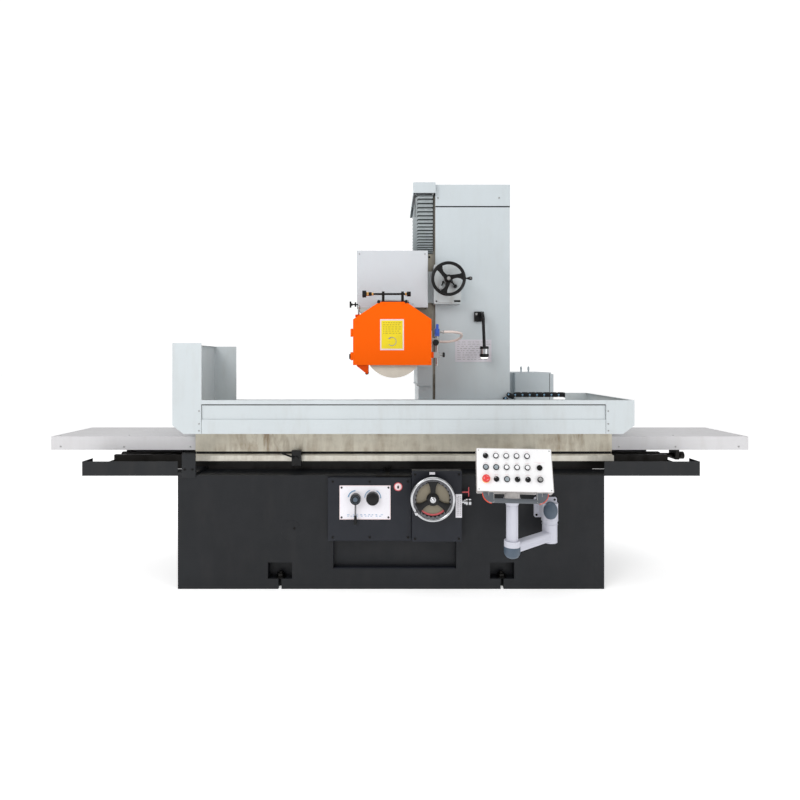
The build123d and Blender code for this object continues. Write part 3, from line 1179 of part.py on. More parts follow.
def make_drag_chain():
    """The cable chain behind the table: a lower run on the bed, a bend, and an upper run to the table."""
    outer = CHAIN_BEND_R
    inner = outer - CHAIN_LINK
    z = CHAIN_TOP - outer
    bend = ring_y(outer, inner, CHAIN_FRONT, CHAIN_BACK, CHAIN_BEND_X, z)
    beyond = outer + 1
    bend -= block(
        CHAIN_BEND_X, CHAIN_BEND_X + beyond, CHAIN_FRONT - 1, CHAIN_BACK + 1, z - beyond, z + beyond,
    )
    upper = block(CHAIN_BEND_X, CHAIN_END_X, CHAIN_FRONT, CHAIN_BACK, CHAIN_TOP - CHAIN_LINK, CHAIN_TOP)
    lower = block(CHAIN_BEND_X, CHAIN_END_X, CHAIN_FRONT, CHAIN_BACK, z - outer, z - inner)
    return bend + upper + lower


def make_chain_tray():
    """The folded tray that the chain's lower run lies in, on brackets from the back of the bed."""
    bottom = CHAIN_TOP - 2 * CHAIN_BEND_R - 4
    tray = block(-220, CHAIN_END_X + 60, CHAIN_FRONT - 5, CHAIN_BACK + 6, bottom, bottom + SHEET)
    for x in (-180.0, CHAIN_END_X - 60):
        tray += block(x, x + 40, CHAIN_FRONT, BED_BACK, BED_HEIGHT, bottom + 1)
    return tray


def make_all():
    """Every node by name: one solid, or a list of the separate solids that share the node."""
    parts = {
        "bed_base": make_bed_base(),
        "bed_rails": make_bed_rails(),
        "bed_trays": make_bed_trays(),
        "front_cover": make_front_cover(),
        "control_plate": make_control_plate(),
        "feed_gearbox": make_feed_gearbox(),
        "proximity_switches": make_proximity_switches(),
        "column": make_column(),
        "column_covers": make_column_covers(),
        "upper_bellows": make_upper_bellows(),
        "lower_cover_base": make_lower_cover_base(),
        "lamp_base": make_lamp_base(),
        "electrical_cabinet": make_electrical_cabinet(),
        "drag_chain": make_drag_chain(),
        "pendant_bracket": make_pendant_bracket(),
        "table_cylinder": make_table_cylinder(),
        "table": make_table(),
        "splash_trough": make_splash_trough(),
        "way_covers": make_way_covers(),
        "magnetic_chuck": make_magnetic_chuck(),
        "dog_rail": make_dog_rail(),
        "piston_rod": make_piston_rod(),
        "dog_left": make_dog(DOG_LEFT_X),
        "dog_right": make_dog(DOG_RIGHT_X),
        "carriage": make_carriage(),
        "carriage_cover": make_carriage_cover(),
        "crossfeed_gearbox": make_crossfeed_gearbox(),
        "lower_cover_top": make_lower_cover_top(),
        "elevating_screw": make_elevating_screw(),
        "cross_handwheel": make_cross_handwheel(),
        "wheelhead": make_wheelhead(),
        "spindle_motor": make_spindle_motor(),
        "wheel_guard": make_wheel_guard(),
        "coolant_valve": make_coolant_valve(),
        "coolant_hose": make_hose(),
        "dresser": make_dresser(),
        "dresser_knob": make_dresser_knob(),
        "spindle": make_spindle(),
        "grinding_wheel": make_grinding_wheel(),
        "wheel_flange": make_wheel_flange(),
        "guard_door": make_guard_door(),
        "valve_lever": make_valve_lever(),
        "feed_handwheel": make_feed_handwheel(),
        "clutch_knob": make_clutch_knob(),
        "throttle_lever": make_throttle_lever(),
        "speed_knob": make_speed_knob(),
        "pendant_arm": make_pendant_arm(),
        "pendant_post": make_pendant_post(),
        "pendant_box": make_pendant_box(),
        "lamp_arm": make_lamp_arm(),
        "e_stop": make_e_stop(),
        "dial_knob": make_dial_knob(),
        "pilot_lamps": make_pilot_lamps(),
    }
    for i in range(1, 5):
        parts[f"selector_{i}"] = make_selector(f"selector_{i}")
    for i in range(1, 4):
        parts[f"button_{i}"] = make_button(f"button_{i}")
    return parts


def write_parts(parts):
    """Writes each node to parts/NODE.step."""
    os.makedirs("parts", exist_ok=True)
    for name, shape in parts.items():
        solids = shape if isinstance(shape, list) else [shape]
        flat = [s for piece in solids for s in piece.solids()]
        export_step(flat[0] if len(flat) == 1 else Compound(children=flat), f"parts/{name}.step")


write_parts(make_all())
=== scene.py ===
import json
import logging
import math
import random
from dataclasses import dataclass
from enum import Enum
from typing import Iterable, Optional, Sequence, Union

import bmesh
import bpy
from mathutils import Matrix, Vector


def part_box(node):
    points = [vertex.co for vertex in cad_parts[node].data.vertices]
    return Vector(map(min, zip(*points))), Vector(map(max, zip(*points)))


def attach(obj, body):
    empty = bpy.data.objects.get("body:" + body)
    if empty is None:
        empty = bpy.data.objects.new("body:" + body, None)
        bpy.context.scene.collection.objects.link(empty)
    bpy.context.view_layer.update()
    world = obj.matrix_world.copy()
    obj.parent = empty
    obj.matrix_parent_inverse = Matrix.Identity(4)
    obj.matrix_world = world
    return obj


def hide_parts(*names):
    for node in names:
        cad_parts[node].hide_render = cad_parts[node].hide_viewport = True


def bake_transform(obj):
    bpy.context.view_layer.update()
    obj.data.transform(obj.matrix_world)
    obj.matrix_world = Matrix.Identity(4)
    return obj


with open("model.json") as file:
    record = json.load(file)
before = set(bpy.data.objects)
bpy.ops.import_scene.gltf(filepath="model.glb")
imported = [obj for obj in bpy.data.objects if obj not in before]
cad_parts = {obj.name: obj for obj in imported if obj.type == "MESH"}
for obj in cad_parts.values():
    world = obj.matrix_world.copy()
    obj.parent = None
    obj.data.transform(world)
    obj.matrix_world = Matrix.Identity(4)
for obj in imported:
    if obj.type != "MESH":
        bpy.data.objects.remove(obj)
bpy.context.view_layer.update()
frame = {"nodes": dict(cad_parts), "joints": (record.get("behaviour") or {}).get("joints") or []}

LOG = logging.getLogger("surface_grinder")
RGB = tuple[float, float, float]
Point = Union[Sequence[float], Vector]
Socket = bpy.types.NodeSocket


class Axis(Enum):
    """The row axis that a turned or extruded piece is made along."""

    X = "X"
    Y = "Y"
    Z = "Z"

    def turn(self) -> Matrix:
        """Return the turn that takes a shape made along Z onto this axis."""
        if self is Axis.X:
            return Matrix.Rotation(math.radians(90), 4, "Y")
        if self is Axis.Y:
            return Matrix.Rotation(math.radians(-90), 4, "X")
        return Matrix.Identity(4)

    def lay(self) -> Matrix:
        """Return the matrix that lays an outline's two directions and its depth on the row axes."""
        if self is Axis.X:
            return Matrix(((0, 0, 1, 0), (1, 0, 0, 0), (0, 1, 0, 0), (0, 0, 0, 1)))
        if self is Axis.Y:
            return Matrix(((1, 0, 0, 0), (0, 0, 1, 0), (0, 1, 0, 0), (0, 0, 0, 1)))
        return Matrix.Identity(4)


def tint(red: int, green: int, blue: int) -> RGB:
    """Turn a screen colour, 0 to 255 a channel, into the linear colour that a shader takes."""

    def linear(value: int) -> float:
        share = value / 255
        return share / 12.92 if share <= 0.04045 else ((share + 0.055) / 1.055) ** 2.4

    return linear(red), linear(green), linear(blue)


# ---- materials ------------------------------------------------------------------------------------
class Graph:
    """A material's node tree, built up socket by socket in front of one Principled shader."""

    def __init__(self, name: str) -> None:
        """Start an empty material.

        Args:
            name: the material's name.
        """
        self.material = bpy.data.materials.new(name)
        self.material.use_nodes = True
        self.nodes = self.material.node_tree.nodes
        self.links = self.material.node_tree.links
        self.shader = self.nodes["Principled BSDF"]
        self.place = self.nodes.new("ShaderNodeTexCoord").outputs["Object"]

    def stretched(self, scale: Point, turn: Point = (0, 0, 0)) -> Socket:
        """Return object coordinates scaled by axis, and turned by the given angles in degrees."""
        node = self.nodes.new("ShaderNodeMapping")
        node.inputs["Scale"].default_value = tuple(scale)
        node.inputs["Rotation"].default_value = tuple(math.radians(a) for a in turn)
        self.links.new(self.place, node.inputs["Vector"])
        return node.outputs["Vector"]

    def noise(self, scale: float, detail: float = 3.0, rough: float = 0.55, at: Optional[Socket] = None,
              twist: float = 0.0) -> Socket:
        """Return a noise value from 0 to 1.

        Args:
            scale: features per metre.
            detail: octaves.
            rough: how strong the fine octaves are.
            at: the coordinates to read, or object coordinates.
            twist: distortion.
        """
        node = self.nodes.new("ShaderNodeTexNoise")
        node.inputs["Scale"].default_value = scale
        node.inputs["Detail"].default_value = detail
        node.inputs["Roughness"].default_value = rough
        node.inputs["Distortion"].default_value = twist
        self.links.new(at or self.place, node.inputs["Vector"])
        return node.outputs["Fac"]

    def cells(self, scale: float, at: Optional[Socket] = None) -> Socket:
        """Return the distance to the nearest cell centre of a Voronoi pattern."""
        node = self.nodes.new("ShaderNodeTexVoronoi")
        node.inputs["Scale"].default_value = scale
        self.links.new(at or self.place, node.inputs["Vector"])
        return node.outputs["Distance"]

    def bands(self, scale: float, axis: Axis, wander: float = 0.0) -> Socket:
        """Return straight bands across one axis, from 0 to 1."""
        node = self.nodes.new("ShaderNodeTexWave")
        node.bands_direction = axis.value
        node.inputs["Scale"].default_value = scale
        node.inputs["Distortion"].default_value = wander
        self.links.new(self.place, node.inputs["Vector"])
        return node.outputs["Fac"]

    def ramp(self, value: Socket, stops: Sequence[tuple[float, RGB]]) -> Socket:
        """Return a colour read from a ramp of (place, colour) stops."""
        node = self.nodes.new("ShaderNodeValToRGB")
        points = node.color_ramp.elements
        while len(points) < len(stops):
            points.new(0.5)
        for point, (place, colour) in zip(points, stops):
            point.position = place
            point.color = (*colour, 1.0)
        self.links.new(value, node.inputs["Fac"])
        return node.outputs["Color"]

    def span(self, value: Socket, low: float, high: float, start: float = 0.3, end: float = 0.7) -> Socket:
        """Return value's stretch from start to end spread over low to high."""
        node = self.nodes.new("ShaderNodeMapRange")
        for key, number in (("From Min", start), ("From Max", end), ("To Min", low), ("To Max", high)):
            node.inputs[key].default_value = number
        self.links.new(value, node.inputs["Value"])
        return node.outputs["Result"]

    def times(self, one: Socket, other: Union[Socket, float]) -> Socket:
        """Return the product of two values."""
        node = self.nodes.new("ShaderNodeMath")
        node.operation = "MULTIPLY"
        self.links.new(one, node.inputs[0])
        if isinstance(other, float):
            node.inputs[1].default_value = other
        else:
            self.links.new(other, node.inputs[1])
        return node.outputs[0]

    def mix(self, share: Socket, under: Socket, colour: RGB) -> Socket:
        """Return a colour laid over another by a share from 0 to 1."""
        node = self.nodes.new("ShaderNodeMix")
        node.data_type = "RGBA"
        self.links.new(share, node.inputs["Factor"])
        self.links.new(under, node.inputs["A"])
        node.inputs["B"].default_value = (*colour, 1.0)
        return node.outputs["Result"]

    def shade(self, colour: RGB, value: Socket, depth: float) -> Socket:
        """Return colour made a little darker and lighter by a value."""
        dark = tuple(c * (1 - depth) for c in colour)
        light = tuple(min(1.0, c * (1 + depth)) for c in colour)
        return self.ramp(value, ((0.3, dark), (0.7, light)))

    def dent(self, height: Socket, depth: float, strength: float = 1.0) -> None:
        """Bump the shader's surface by a height value, depth in metres."""
        node = self.nodes.new("ShaderNodeBump")
        node.inputs["Distance"].default_value = depth
        node.inputs["Strength"].default_value = strength
        self.links.new(height, node.inputs["Height"])
        self.links.new(node.outputs["Normal"], self.shader.inputs["Normal"])

    def set(self, colour: Optional[Socket] = None, roughness: Optional[Socket] = None,
            **numbers: object) -> None:
        """Connect the colour and roughness, and set the shader's own sockets.

        Args:
            colour: the base colour's socket.
            roughness: the roughness's socket.
            numbers: socket names, with spaces as underscores, to fixed values.
        """
        if colour is not None:
            self.links.new(colour, self.shader.inputs["Base Color"])
        if roughness is not None:
            self.links.new(roughness, self.shader.inputs["Roughness"])
        for name, value in numbers.items():
            self.shader.inputs[name.replace("_", " ")].default_value = value


class Finish:
    """A named surface finish, made into one material the first time it is used."""

    name: str
    made: dict[str, bpy.types.Material] = {}

    def build(self, graph: Graph) -> None:
        """Fill the material's graph."""
        raise NotImplementedError

    def material(self) -> bpy.types.Material:
        """Return the finish's material."""
        if self.name not in Finish.made:
            graph = Graph(self.name)
            self.build(graph)
            Finish.made[self.name] = graph.material
        return Finish.made[self.name]


@dataclass(frozen=True)
class Enamel(Finish):
    """Sprayed enamel: a faint orange peel, cloudy colour and a film of workshop dust."""

    name: str
    colour: RGB
    roughness: float = 0.36
    cloud: float = 0.035
    peel: float = 0.00012
    grain: float = 420.0
    dust: float = 0.0
    dust_colour: RGB = tint(150, 140, 125)
    coat: float = 0.0
    shine: float = 0.5

    def build(self, graph: Graph) -> None:
        """Fill the material's graph."""
        colour = graph.shade(self.colour, graph.noise(1.7, 4.0), self.cloud)
        if self.dust:
            runs = graph.noise(5.0, 5.0, 0.6, graph.stretched((3.0, 3.0, 0.7)))
            colour = graph.mix(graph.span(runs, 0.0, self.dust, 0.48, 0.72), colour, self.dust_colour)
        rough = graph.span(graph.noise(11.0, 5.0), self.roughness - 0.06, self.roughness + 0.08)
        graph.set(colour, rough, Coat_Weight=self.coat, Coat_Roughness=0.12, Specular_IOR_Level=self.shine)
        graph.dent(graph.noise(self.grain, 2.0), self.peel, 0.5)


@dataclass(frozen=True)
class OiledIron(Finish):
    """A ground or scraped iron face with dried oil that has run down it."""

    name: str
    colour: RGB = tint(206, 200, 184)
    oil: RGB = tint(122, 96, 62)
    amount: float = 0.8
    metallic: float = 0.25
    lines: Axis = Axis.Z

    def build(self, graph: Graph) -> None:
        """Fill the material's graph."""
        runs = graph.noise(7.0, 6.0, 0.62, graph.stretched((2.4, 2.4, 0.55)), 0.4)
        pools = graph.noise(1.9, 4.0, 0.6, graph.stretched((1.0, 1.0, 2.6)))
        stain = graph.times(graph.span(runs, 0.0, 1.0, 0.42, 0.66), graph.span(pools, 0.15, 1.0, 0.4, 0.62))
        base = graph.shade(self.colour, graph.noise(24.0, 5.0, 0.6), 0.07)
        colour = graph.mix(graph.times(stain, self.amount), base, self.oil)
        specks = graph.span(graph.noise(90.0, 3.0, 0.7), 0.0, 0.7, 0.66, 0.74)
        colour = graph.mix(graph.times(specks, 0.55), colour, tint(92, 70, 46))
        rough = graph.span(runs, 0.46, 0.28)
        graph.set(colour, rough, Metallic=self.metallic)
        graph.dent(graph.bands(300.0, self.lines, 1.5), 0.00006, 0.6)


@dataclass(frozen=True)
class TurnedMetal(Finish):
    """Bare metal: turned, ground or plated, by its roughness and its fine scratches."""

    name: str
    colour: RGB
    roughness: float = 0.28
    scratch: float = 0.00002
    smear: float = 0.06

    def build(self, graph: Graph) -> None:
        """Fill the material's graph."""
        colour = graph.shade(self.colour, graph.noise(18.0, 4.0), self.smear)
        fine = graph.noise(900.0, 2.0, 0.5, graph.stretched((0.1, 1.0, 1.0)))
        rough = graph.span(graph.noise(40.0, 5.0, 0.65), self.roughness - 0.06, self.roughness + 0.12)
        graph.set(colour, rough, Metallic=1.0)
        graph.dent(fine, self.scratch, 0.5)


@dataclass(frozen=True)
class Moulded(Finish):
    """Moulded plastic or rubber with a spark-eroded grain."""

    name: str
    colour: RGB
    roughness: float = 0.42
    grain: float = 1400.0
    depth: float = 0.00005
    sheen: float = 0.0
    shine: float = 0.5

    def build(self, graph: Graph) -> None:
        """Fill the material's graph."""
        colour = graph.shade(self.colour, graph.noise(30.0, 4.0), 0.08)
        rough = graph.span(graph.noise(60.0, 4.0), self.roughness - 0.05, self.roughness + 0.08)
        graph.set(colour, rough, Sheen_Weight=self.sheen, Sheen_Roughness=0.4,
                  Specular_IOR_Level=self.shine)
        graph.dent(graph.cells(self.grain), self.depth, 0.5)


@dataclass(frozen=True)
class Laminate(Finish):
    """A printed or painted plate with a slight sheen, darker where fingers have been."""

    name: str
    colour: RGB
    worn: RGB
    roughness: float = 0.3

    def build(self, graph: Graph) -> None:
        """Fill the material's graph."""
        under = graph.shade(self.colour, graph.noise(9.0, 3.0), 0.015)
        colour = graph.mix(graph.span(graph.noise(6.0, 5.0, 0.6), 0.0, 0.35, 0.5, 0.75), under, self.worn)
        graph.set(colour, graph.span(graph.noise(50.0, 4.0), self.roughness - 0.05, self.roughness + 0.1))
        graph.dent(graph.noise(700.0, 2.0), 0.00002, 0.4)


@dataclass(frozen=True)
class Abrasive(Finish):
    """Bonded white abrasive: glassy grains in a chalky bond, a little loaded with swarf."""

    name: str
    colour: RGB = tint(226, 219, 206)

    def build(self, graph: Graph) -> None:
        """Fill the material's graph."""
        grains = graph.cells(900.0)
        colour = graph.mix(
            graph.span(graph.noise(700.0, 3.0, 0.7), 0.0, 0.5, 0.6, 0.75),
            graph.shade(self.colour, graph.noise(14.0, 4.0), 0.06), tint(120, 112, 104),
        )
        graph.set(colour, graph.span(grains, 0.7, 0.95))
        graph.dent(grains, 0.0004, 0.9)


@dataclass(frozen=True)
class CoatedCloth(Finish):
    """Coated cloth of a folded cover: a fine weave under a grey film; the cover's fold creases take a
    darker copy of it as painted shade.
    """

    name: str
    colour: RGB = tint(176, 184, 186)

    def build(self, graph: Graph) -> None:
        """Fill the material's graph."""
        weave = graph.times(graph.bands(700.0, Axis.X), graph.bands(700.0, Axis.Z))
        colour = graph.shade(self.colour, graph.noise(20.0, 5.0, 0.6), 0.1)
        graph.set(colour, graph.span(graph.noise(30.0, 4.0), 0.55, 0.75), Sheen_Weight=0.2,
                  Sheen_Roughness=0.4)
        graph.dent(weave, 0.00012, 0.6)


@dataclass(frozen=True)
class BraidedHose(Finish):
    """Clear vinyl hose with a crossed braid that shows through it."""

    name: str
    colour: RGB = tint(236, 216, 208)

    def build(self, graph: Graph) -> None:
        """Fill the material's graph."""
        weft = graph.bands(95.0, Axis.X, 1.2)
        warp = graph.bands(95.0, Axis.Z, 1.2)
        threads = graph.span(graph.times(weft, warp), 0.0, 0.75, 0.35, 0.7)
        colour = graph.mix(threads, graph.shade(self.colour, graph.noise(40.0, 3.0), 0.04),
                           tint(250, 246, 242))
        graph.set(colour, graph.span(graph.noise(60.0, 3.0), 0.14, 0.28), Transmission_Weight=0.22,
                  IOR=1.45,
                  Coat_Weight=0.4, Coat_Roughness=0.08)
        graph.dent(threads, 0.0003, 0.5)


@dataclass(frozen=True)
class MagneticFace(Finish):
    """The ground face of a magnetic chuck: steel poles with brass strips between them."""

    name: str

    def build(self, graph: Graph) -> None:
        """Fill the material's graph."""
        strips = graph.span(graph.bands(22.0, Axis.X), 0.0, 1.0, 0.93, 0.97)
        steel = graph.shade(tint(176, 176, 174), graph.noise(30.0, 5.0, 0.6), 0.09)
        graph.set(graph.mix(strips, steel, tint(186, 150, 86)),
                  graph.span(graph.noise(45.0, 5.0), 0.24, 0.4), Metallic=1.0)
        graph.dent(graph.noise(1200.0, 2.0, 0.5, graph.stretched((0.04, 1.0, 1.0))), 0.00003, 0.6)


@dataclass(frozen=True)
class Lens(Finish):
    """The lit glass of a lamp."""

    name: str
    glow: float = 1.6

    def build(self, graph: Graph) -> None:
        """Fill the material's graph."""
        colour = graph.shade(tint(250, 248, 240), graph.cells(260.0), 0.04)
        graph.set(colour, graph.span(graph.noise(80.0), 0.06, 0.14), Emission_Color=(1.0, 0.97, 0.9, 1.0),
                  Emission_Strength=self.glow, IOR=1.5)
        graph.dent(graph.cells(220.0), 0.0004, 0.5)


@dataclass(frozen=True)
class StudioFloor(Finish):
    """The studio's pale floor, lifted to the white of the sky behind it."""

    name: str
    glow: float = 0.47

    def build(self, graph: Graph) -> None:
        """Fill the material's graph."""
        graph.set(graph.shade(tint(250, 250, 250), graph.noise(0.8, 3.0), 0.01),
                  graph.span(graph.noise(3.0, 4.0), 0.7, 0.85), Emission_Color=(1.0, 1.0, 1.0, 1.0),
                  Emission_Strength=self.glow)


SHEET_GREY = Enamel("light_grey_enamel", tint(196, 204, 208), dust=0.06)
TROUGH_GREY = Enamel("trough_enamel", tint(199, 206, 209), dust=0.12)
WING_GREY = Enamel("wing_enamel", tint(209, 208, 210), dust=0.10)
HOOD_GREY = Enamel("hood_enamel", tint(203, 207, 212), dust=0.04, dust_colour=tint(205, 178, 172))
CASTING_GREY = Enamel("casting_enamel", tint(190, 196, 198), 0.45, 0.05, 0.0005, 160.0, dust=0.25)
BED_BLACK = Enamel("bed_enamel", tint(21, 23, 27), 0.5, 0.12, 0.0005, 190.0, dust=0.08,
                   dust_colour=tint(60, 56, 54), shine=0.3)
PANEL_BLACK = Enamel("panel_enamel", tint(26, 29, 37), 0.44, 0.08, 0.0003, 260.0, dust=0.05,
                     dust_colour=tint(62, 62, 66), shine=0.3)
TRAY_BLACK = Enamel("tray_enamel", tint(27, 29, 32), 0.46, 0.1, dust=0.12, dust_colour=tint(66, 60, 56),
                    shine=0.3)
ORANGE = Enamel("guard_orange", tint(254, 99, 0), 0.5, 0.02, 0.0001, shine=0.08)
# a darker copy of the guard's orange: painted shade on the guard's shell and its tabs
ORANGE_PAINTED_SHADE = Enamel("guard_orange_painted_shade", tint(228, 76, 4), 0.5, 0.05, shine=0.1)
TABLE_IRON = OiledIron("table_iron")
RAIL_IRON = OiledIron("rail_iron", tint(226, 222, 210), amount=0.35, metallic=0.35)
# the ways' casting in near-black: its sides are black paint, and its machined tops are darkened too as
# painted shade under the table
WAY_BLACK_AND_SHADE = OiledIron("dark_way_iron_and_painted_shade", tint(40, 38, 36), tint(22, 19, 15), 0.9, 0.3)
WAY_IRON = OiledIron("way_iron", tint(150, 146, 136), tint(70, 52, 34), 0.9, 0.6)
SADDLE_IRON = OiledIron("saddle_iron", tint(146, 141, 128), tint(74, 56, 40), 0.95, 0.3)
STEEL = TurnedMetal("turned_steel", tint(168, 168, 167), 0.3)
STEM_STEEL = TurnedMetal("stem_steel", tint(112, 112, 115), 0.24)
WORN_PLATE = TurnedMetal("worn_plate", tint(92, 92, 95), 0.22)
CHROME = TurnedMetal("chrome_plate", tint(190, 191, 194), 0.1, 0.000005, 0.02)
BRASS = TurnedMetal("turned_brass", tint(196, 152, 92), 0.28)
DARK_STEEL = TurnedMetal("blackened_steel", tint(40, 39, 38), 0.4)
BLACK = Moulded("black_phenolic", tint(11, 11, 12), 0.3, shine=0.28)
RUBBER = Moulded("black_rubber", tint(13, 13, 14), 0.6, sheen=0.1, shine=0.25)
CHAIN_BLACK = Moulded("chain_nylon", tint(15, 16, 19), 0.45, shine=0.3)
CHAIN_BLUE = Moulded("chain_pin_blue", tint(124, 162, 190), 0.4)
SLATE = Moulded("slate_plastic", tint(72, 86, 101), 0.4)
GRIP_GREY = Moulded("grip_grey", tint(82, 87, 93), 0.42)
ACCENT_RED = Moulded("accent_red", tint(222, 76, 52), 0.38)
STOP_RED = Moulded("stop_red", tint(222, 58, 56), 0.32)
STOP_YELLOW = Moulded("stop_yellow", tint(240, 170, 40), 0.4)
VALVE_BLUE = Moulded("valve_blue", tint(44, 82, 178), 0.34)
LAMP_WHITE = Moulded("lamp_white", tint(236, 236, 238), 0.25)
BUTTON_GREY = Moulded("button_grey", tint(150, 160, 166), 0.32)
ARM_LILAC = Enamel("arm_enamel", tint(196, 197, 208), 0.42, 0.03, 0.00035, 240.0)
PENDANT_SIDE = Enamel("pendant_enamel", tint(188, 184, 182), 0.4)
PANEL_WHITE = Laminate("panel_white", tint(243, 243, 244), tint(228, 222, 222))
PLATE_WHITE = Laminate("plate_white", tint(236, 234, 240), tint(222, 214, 218))
PLATE_LILAC = Laminate("plate_lilac", tint(214, 211, 219), tint(206, 198, 208))
PLATE_PINK = Laminate("plate_pink", tint(236, 216, 218), tint(222, 200, 200))
LABEL_YELLOW = Laminate("label_yellow", tint(240, 216, 18), tint(206, 184, 40))
PRINT_BLUE = Laminate("print_blue", tint(52, 132, 178), tint(70, 140, 180))
PRINT_GREY = Laminate("print_grey", tint(150, 148, 150), tint(170, 168, 168))
PRINT_OLIVE = Laminate("print_olive", tint(176, 156, 34), tint(190, 168, 50))
PRINT_RED = Laminate("print_red", tint(206, 84, 90), tint(214, 110, 112))
TAG_YELLOW = Laminate("tag_yellow", tint(222, 214, 92), tint(200, 190, 90))
DIAL_BEIGE = Laminate("dial_beige", tint(126, 118, 100), tint(100, 92, 78), 0.38)


# ---- shapes ---------------------------------------------------------------------------------------
class Shape:
    """A mesh in the making, in metres, shaped with bmesh operators."""

    def __init__(self) -> None:
        """Start with nothing."""
        self.bm = bmesh.new()

    def _take(self, part: bmesh.types.BMesh, place: Optional[Matrix] = None) -> "Shape":
        """Put a finished part in place, turn its faces outwards and add it to the shape."""
        if place is not None:
            bmesh.ops.transform(part, matrix=place, verts=part.verts)
        bmesh.ops.recalc_face_normals(part, faces=part.faces)
        mesh = bpy.data.meshes.new("part")
        part.to_mesh(mesh)
        part.free()
        self.bm.from_mesh(mesh)
        bpy.data.meshes.remove(mesh)
        return self

    @staticmethod
    def _round(part: bmesh.types.BMesh, width: float, segments: int, edges: Optional[list] = None) -> None:
        """Bevel the given edges, or all of them."""
        if width > 0:
            bmesh.ops.bevel(part, geom=edges or part.edges[:], offset=width, offset_type="OFFSET",
                            segments=segments,
                            profile=0.5, affect="EDGES", material=-1, clamp_overlap=True)

    def box(self, low: Point, high: Point, bevel: float = 0.0, segments: int = 2,
            place: Optional[Matrix] = None) -> "Shape":
        """Add a box between two corners.

        Args:
            low: the lowest corner.
            high: the highest corner.
            bevel: how far its edges are rounded.
            segments: how many faces make the rounding.
            place: a matrix applied afterwards.

        Returns:
            The shape itself.
        """
        low, high = Vector(low), Vector(high)
        part = bmesh.new()
        bmesh.ops.create_cube(part, size=1.0)
        bmesh.ops.scale(part, vec=high - low, verts=part.verts)
        bmesh.ops.translate(part, vec=(low + high) / 2, verts=part.verts)
        self._round(part, bevel, segments)
        return self._take(part, place)

    def lathe(self, profile: Sequence[tuple[float, float]], centre: Point, axis: Axis = Axis.Z,
              sides: int = 32,
              closed: bool = False, place: Optional[Matrix] = None) -> "Shape":
        """Add a turned shape.

        Args:
            profile: (radius, height) points along the axis.
            centre: where height 0 lies.
            axis: the axis that it is turned about.
            sides: faces round the turn.
            closed: whether the last point joins the first, as on a ring.
            place: a matrix applied afterwards.

        Returns:
            The shape itself.
        """
        part = bmesh.new()
        verts = [part.verts.new((r, 0.0, h)) for r, h in profile]
        edges = [part.edges.new(pair) for pair in zip(verts, verts[1:])]
        if closed:
            edges.append(part.edges.new((verts[-1], verts[0])))
        bmesh.ops.spin(part, geom=verts + edges, cent=(0, 0, 0), axis=(0, 0, 1), angle=2 * math.pi,
                       steps=sides,
                       use_merge=True)
        bmesh.ops.remove_doubles(part, verts=part.verts, dist=1e-6)
        where = Matrix.Translation(Vector(centre)) @ axis.turn()
        return self._take(part, (place or Matrix.Identity(4)) @ where)

    def rod(self, centre: Point, radius: float, length: float, axis: Axis = Axis.Z, bevel: float = 0.0,
            sides: int = 28, place: Optional[Matrix] = None) -> "Shape":
        """Add a round bar that starts at centre and runs along the axis, with its ends eased."""
        b = min(bevel, radius * 0.9, length * 0.45)
        if b > 0:
            c = b * 0.3
            profile = [(0, 0), (radius - b, 0), (radius - c, c), (radius, b), (radius, length - b),
                       (radius - c, length - c), (radius - b, length), (0, length)]
        else:
            profile = [(0, 0), (radius, 0), (radius, length), (0, length)]
        return self.lathe(profile, centre, axis, sides, place=place)

    def ring(self, centre: Point, outer: float, inner: float, height: float, axis: Axis = Axis.Z,
             bevel: float = 0.0,
             sides: int = 40, place: Optional[Matrix] = None) -> "Shape":
        """Add a flat ring or a short tube that starts at centre."""
        b = max(bevel, 1e-5)
        profile = [(inner, b), (inner + b, 0), (outer - b, 0), (outer, b), (outer, height - b),
                   (outer - b, height), (inner + b, height), (inner, height - b)]
        return self.lathe(profile, centre, axis, sides, closed=True, place=place)

    def torus(self, centre: Point, radius: float, tube: float, axis: Axis = Axis.Z, sides: int = 64,
              facets: int = 16,
              flat: float = 1.0) -> "Shape":
        """Add a torus whose tube may be flattened along the axis."""
        turns = (2 * math.pi * i / facets for i in range(facets))
        profile = [(radius + tube * math.cos(t), tube * flat * math.sin(t)) for t in turns]
        return self.lathe(profile, centre, axis, sides, closed=True)

    def ball(self, centre: Point, radius: float, stretch: Point = (1, 1, 1),
             place: Optional[Matrix] = None) -> "Shape":
        """Add a ball, stretched by axis."""
        part = bmesh.new()
        bmesh.ops.create_uvsphere(part, u_segments=28, v_segments=16, radius=radius)
        bmesh.ops.scale(part, vec=Vector(stretch), verts=part.verts)
        bmesh.ops.translate(part, vec=Vector(centre), verts=part.verts)
        return self._take(part, place)

    def prism(self, outline: Sequence[tuple[float, float]], axis: Axis, start: float, depth: float,
              bevel: float = 0.0, segments: int = 2, place: Optional[Matrix] = None) -> "Shape":
        """Add an outline carried along an axis.

        Args:
            outline: its points, on (Y, Z) for axis X, (X, Z) for axis Y and (X, Y) for axis Z.
            axis: the axis that it is carried along.
            start: where it starts on that axis.
            depth: how far it goes.
            bevel: how far its end edges are rounded.
            segments: how many faces make the rounding.
            place: a matrix applied afterwards.

        Returns:
            The shape itself.
        """
        part = bmesh.new()
        face = part.faces.new([part.verts.new((u, v, start)) for u, v in outline])
        grown = bmesh.ops.extrude_face_region(part, geom=[face])["geom"]
        top = [g for g in grown if isinstance(g, bmesh.types.BMVert)]
        bmesh.ops.translate(part, vec=(0, 0, depth), verts=top)
        ends = [e for e in part.edges if abs(e.verts[0].co.z - e.verts[1].co.z) < 1e-9]
        self._round(part, bevel, segments, ends)
        return self._take(part, (place or Matrix.Identity(4)) @ axis.lay())

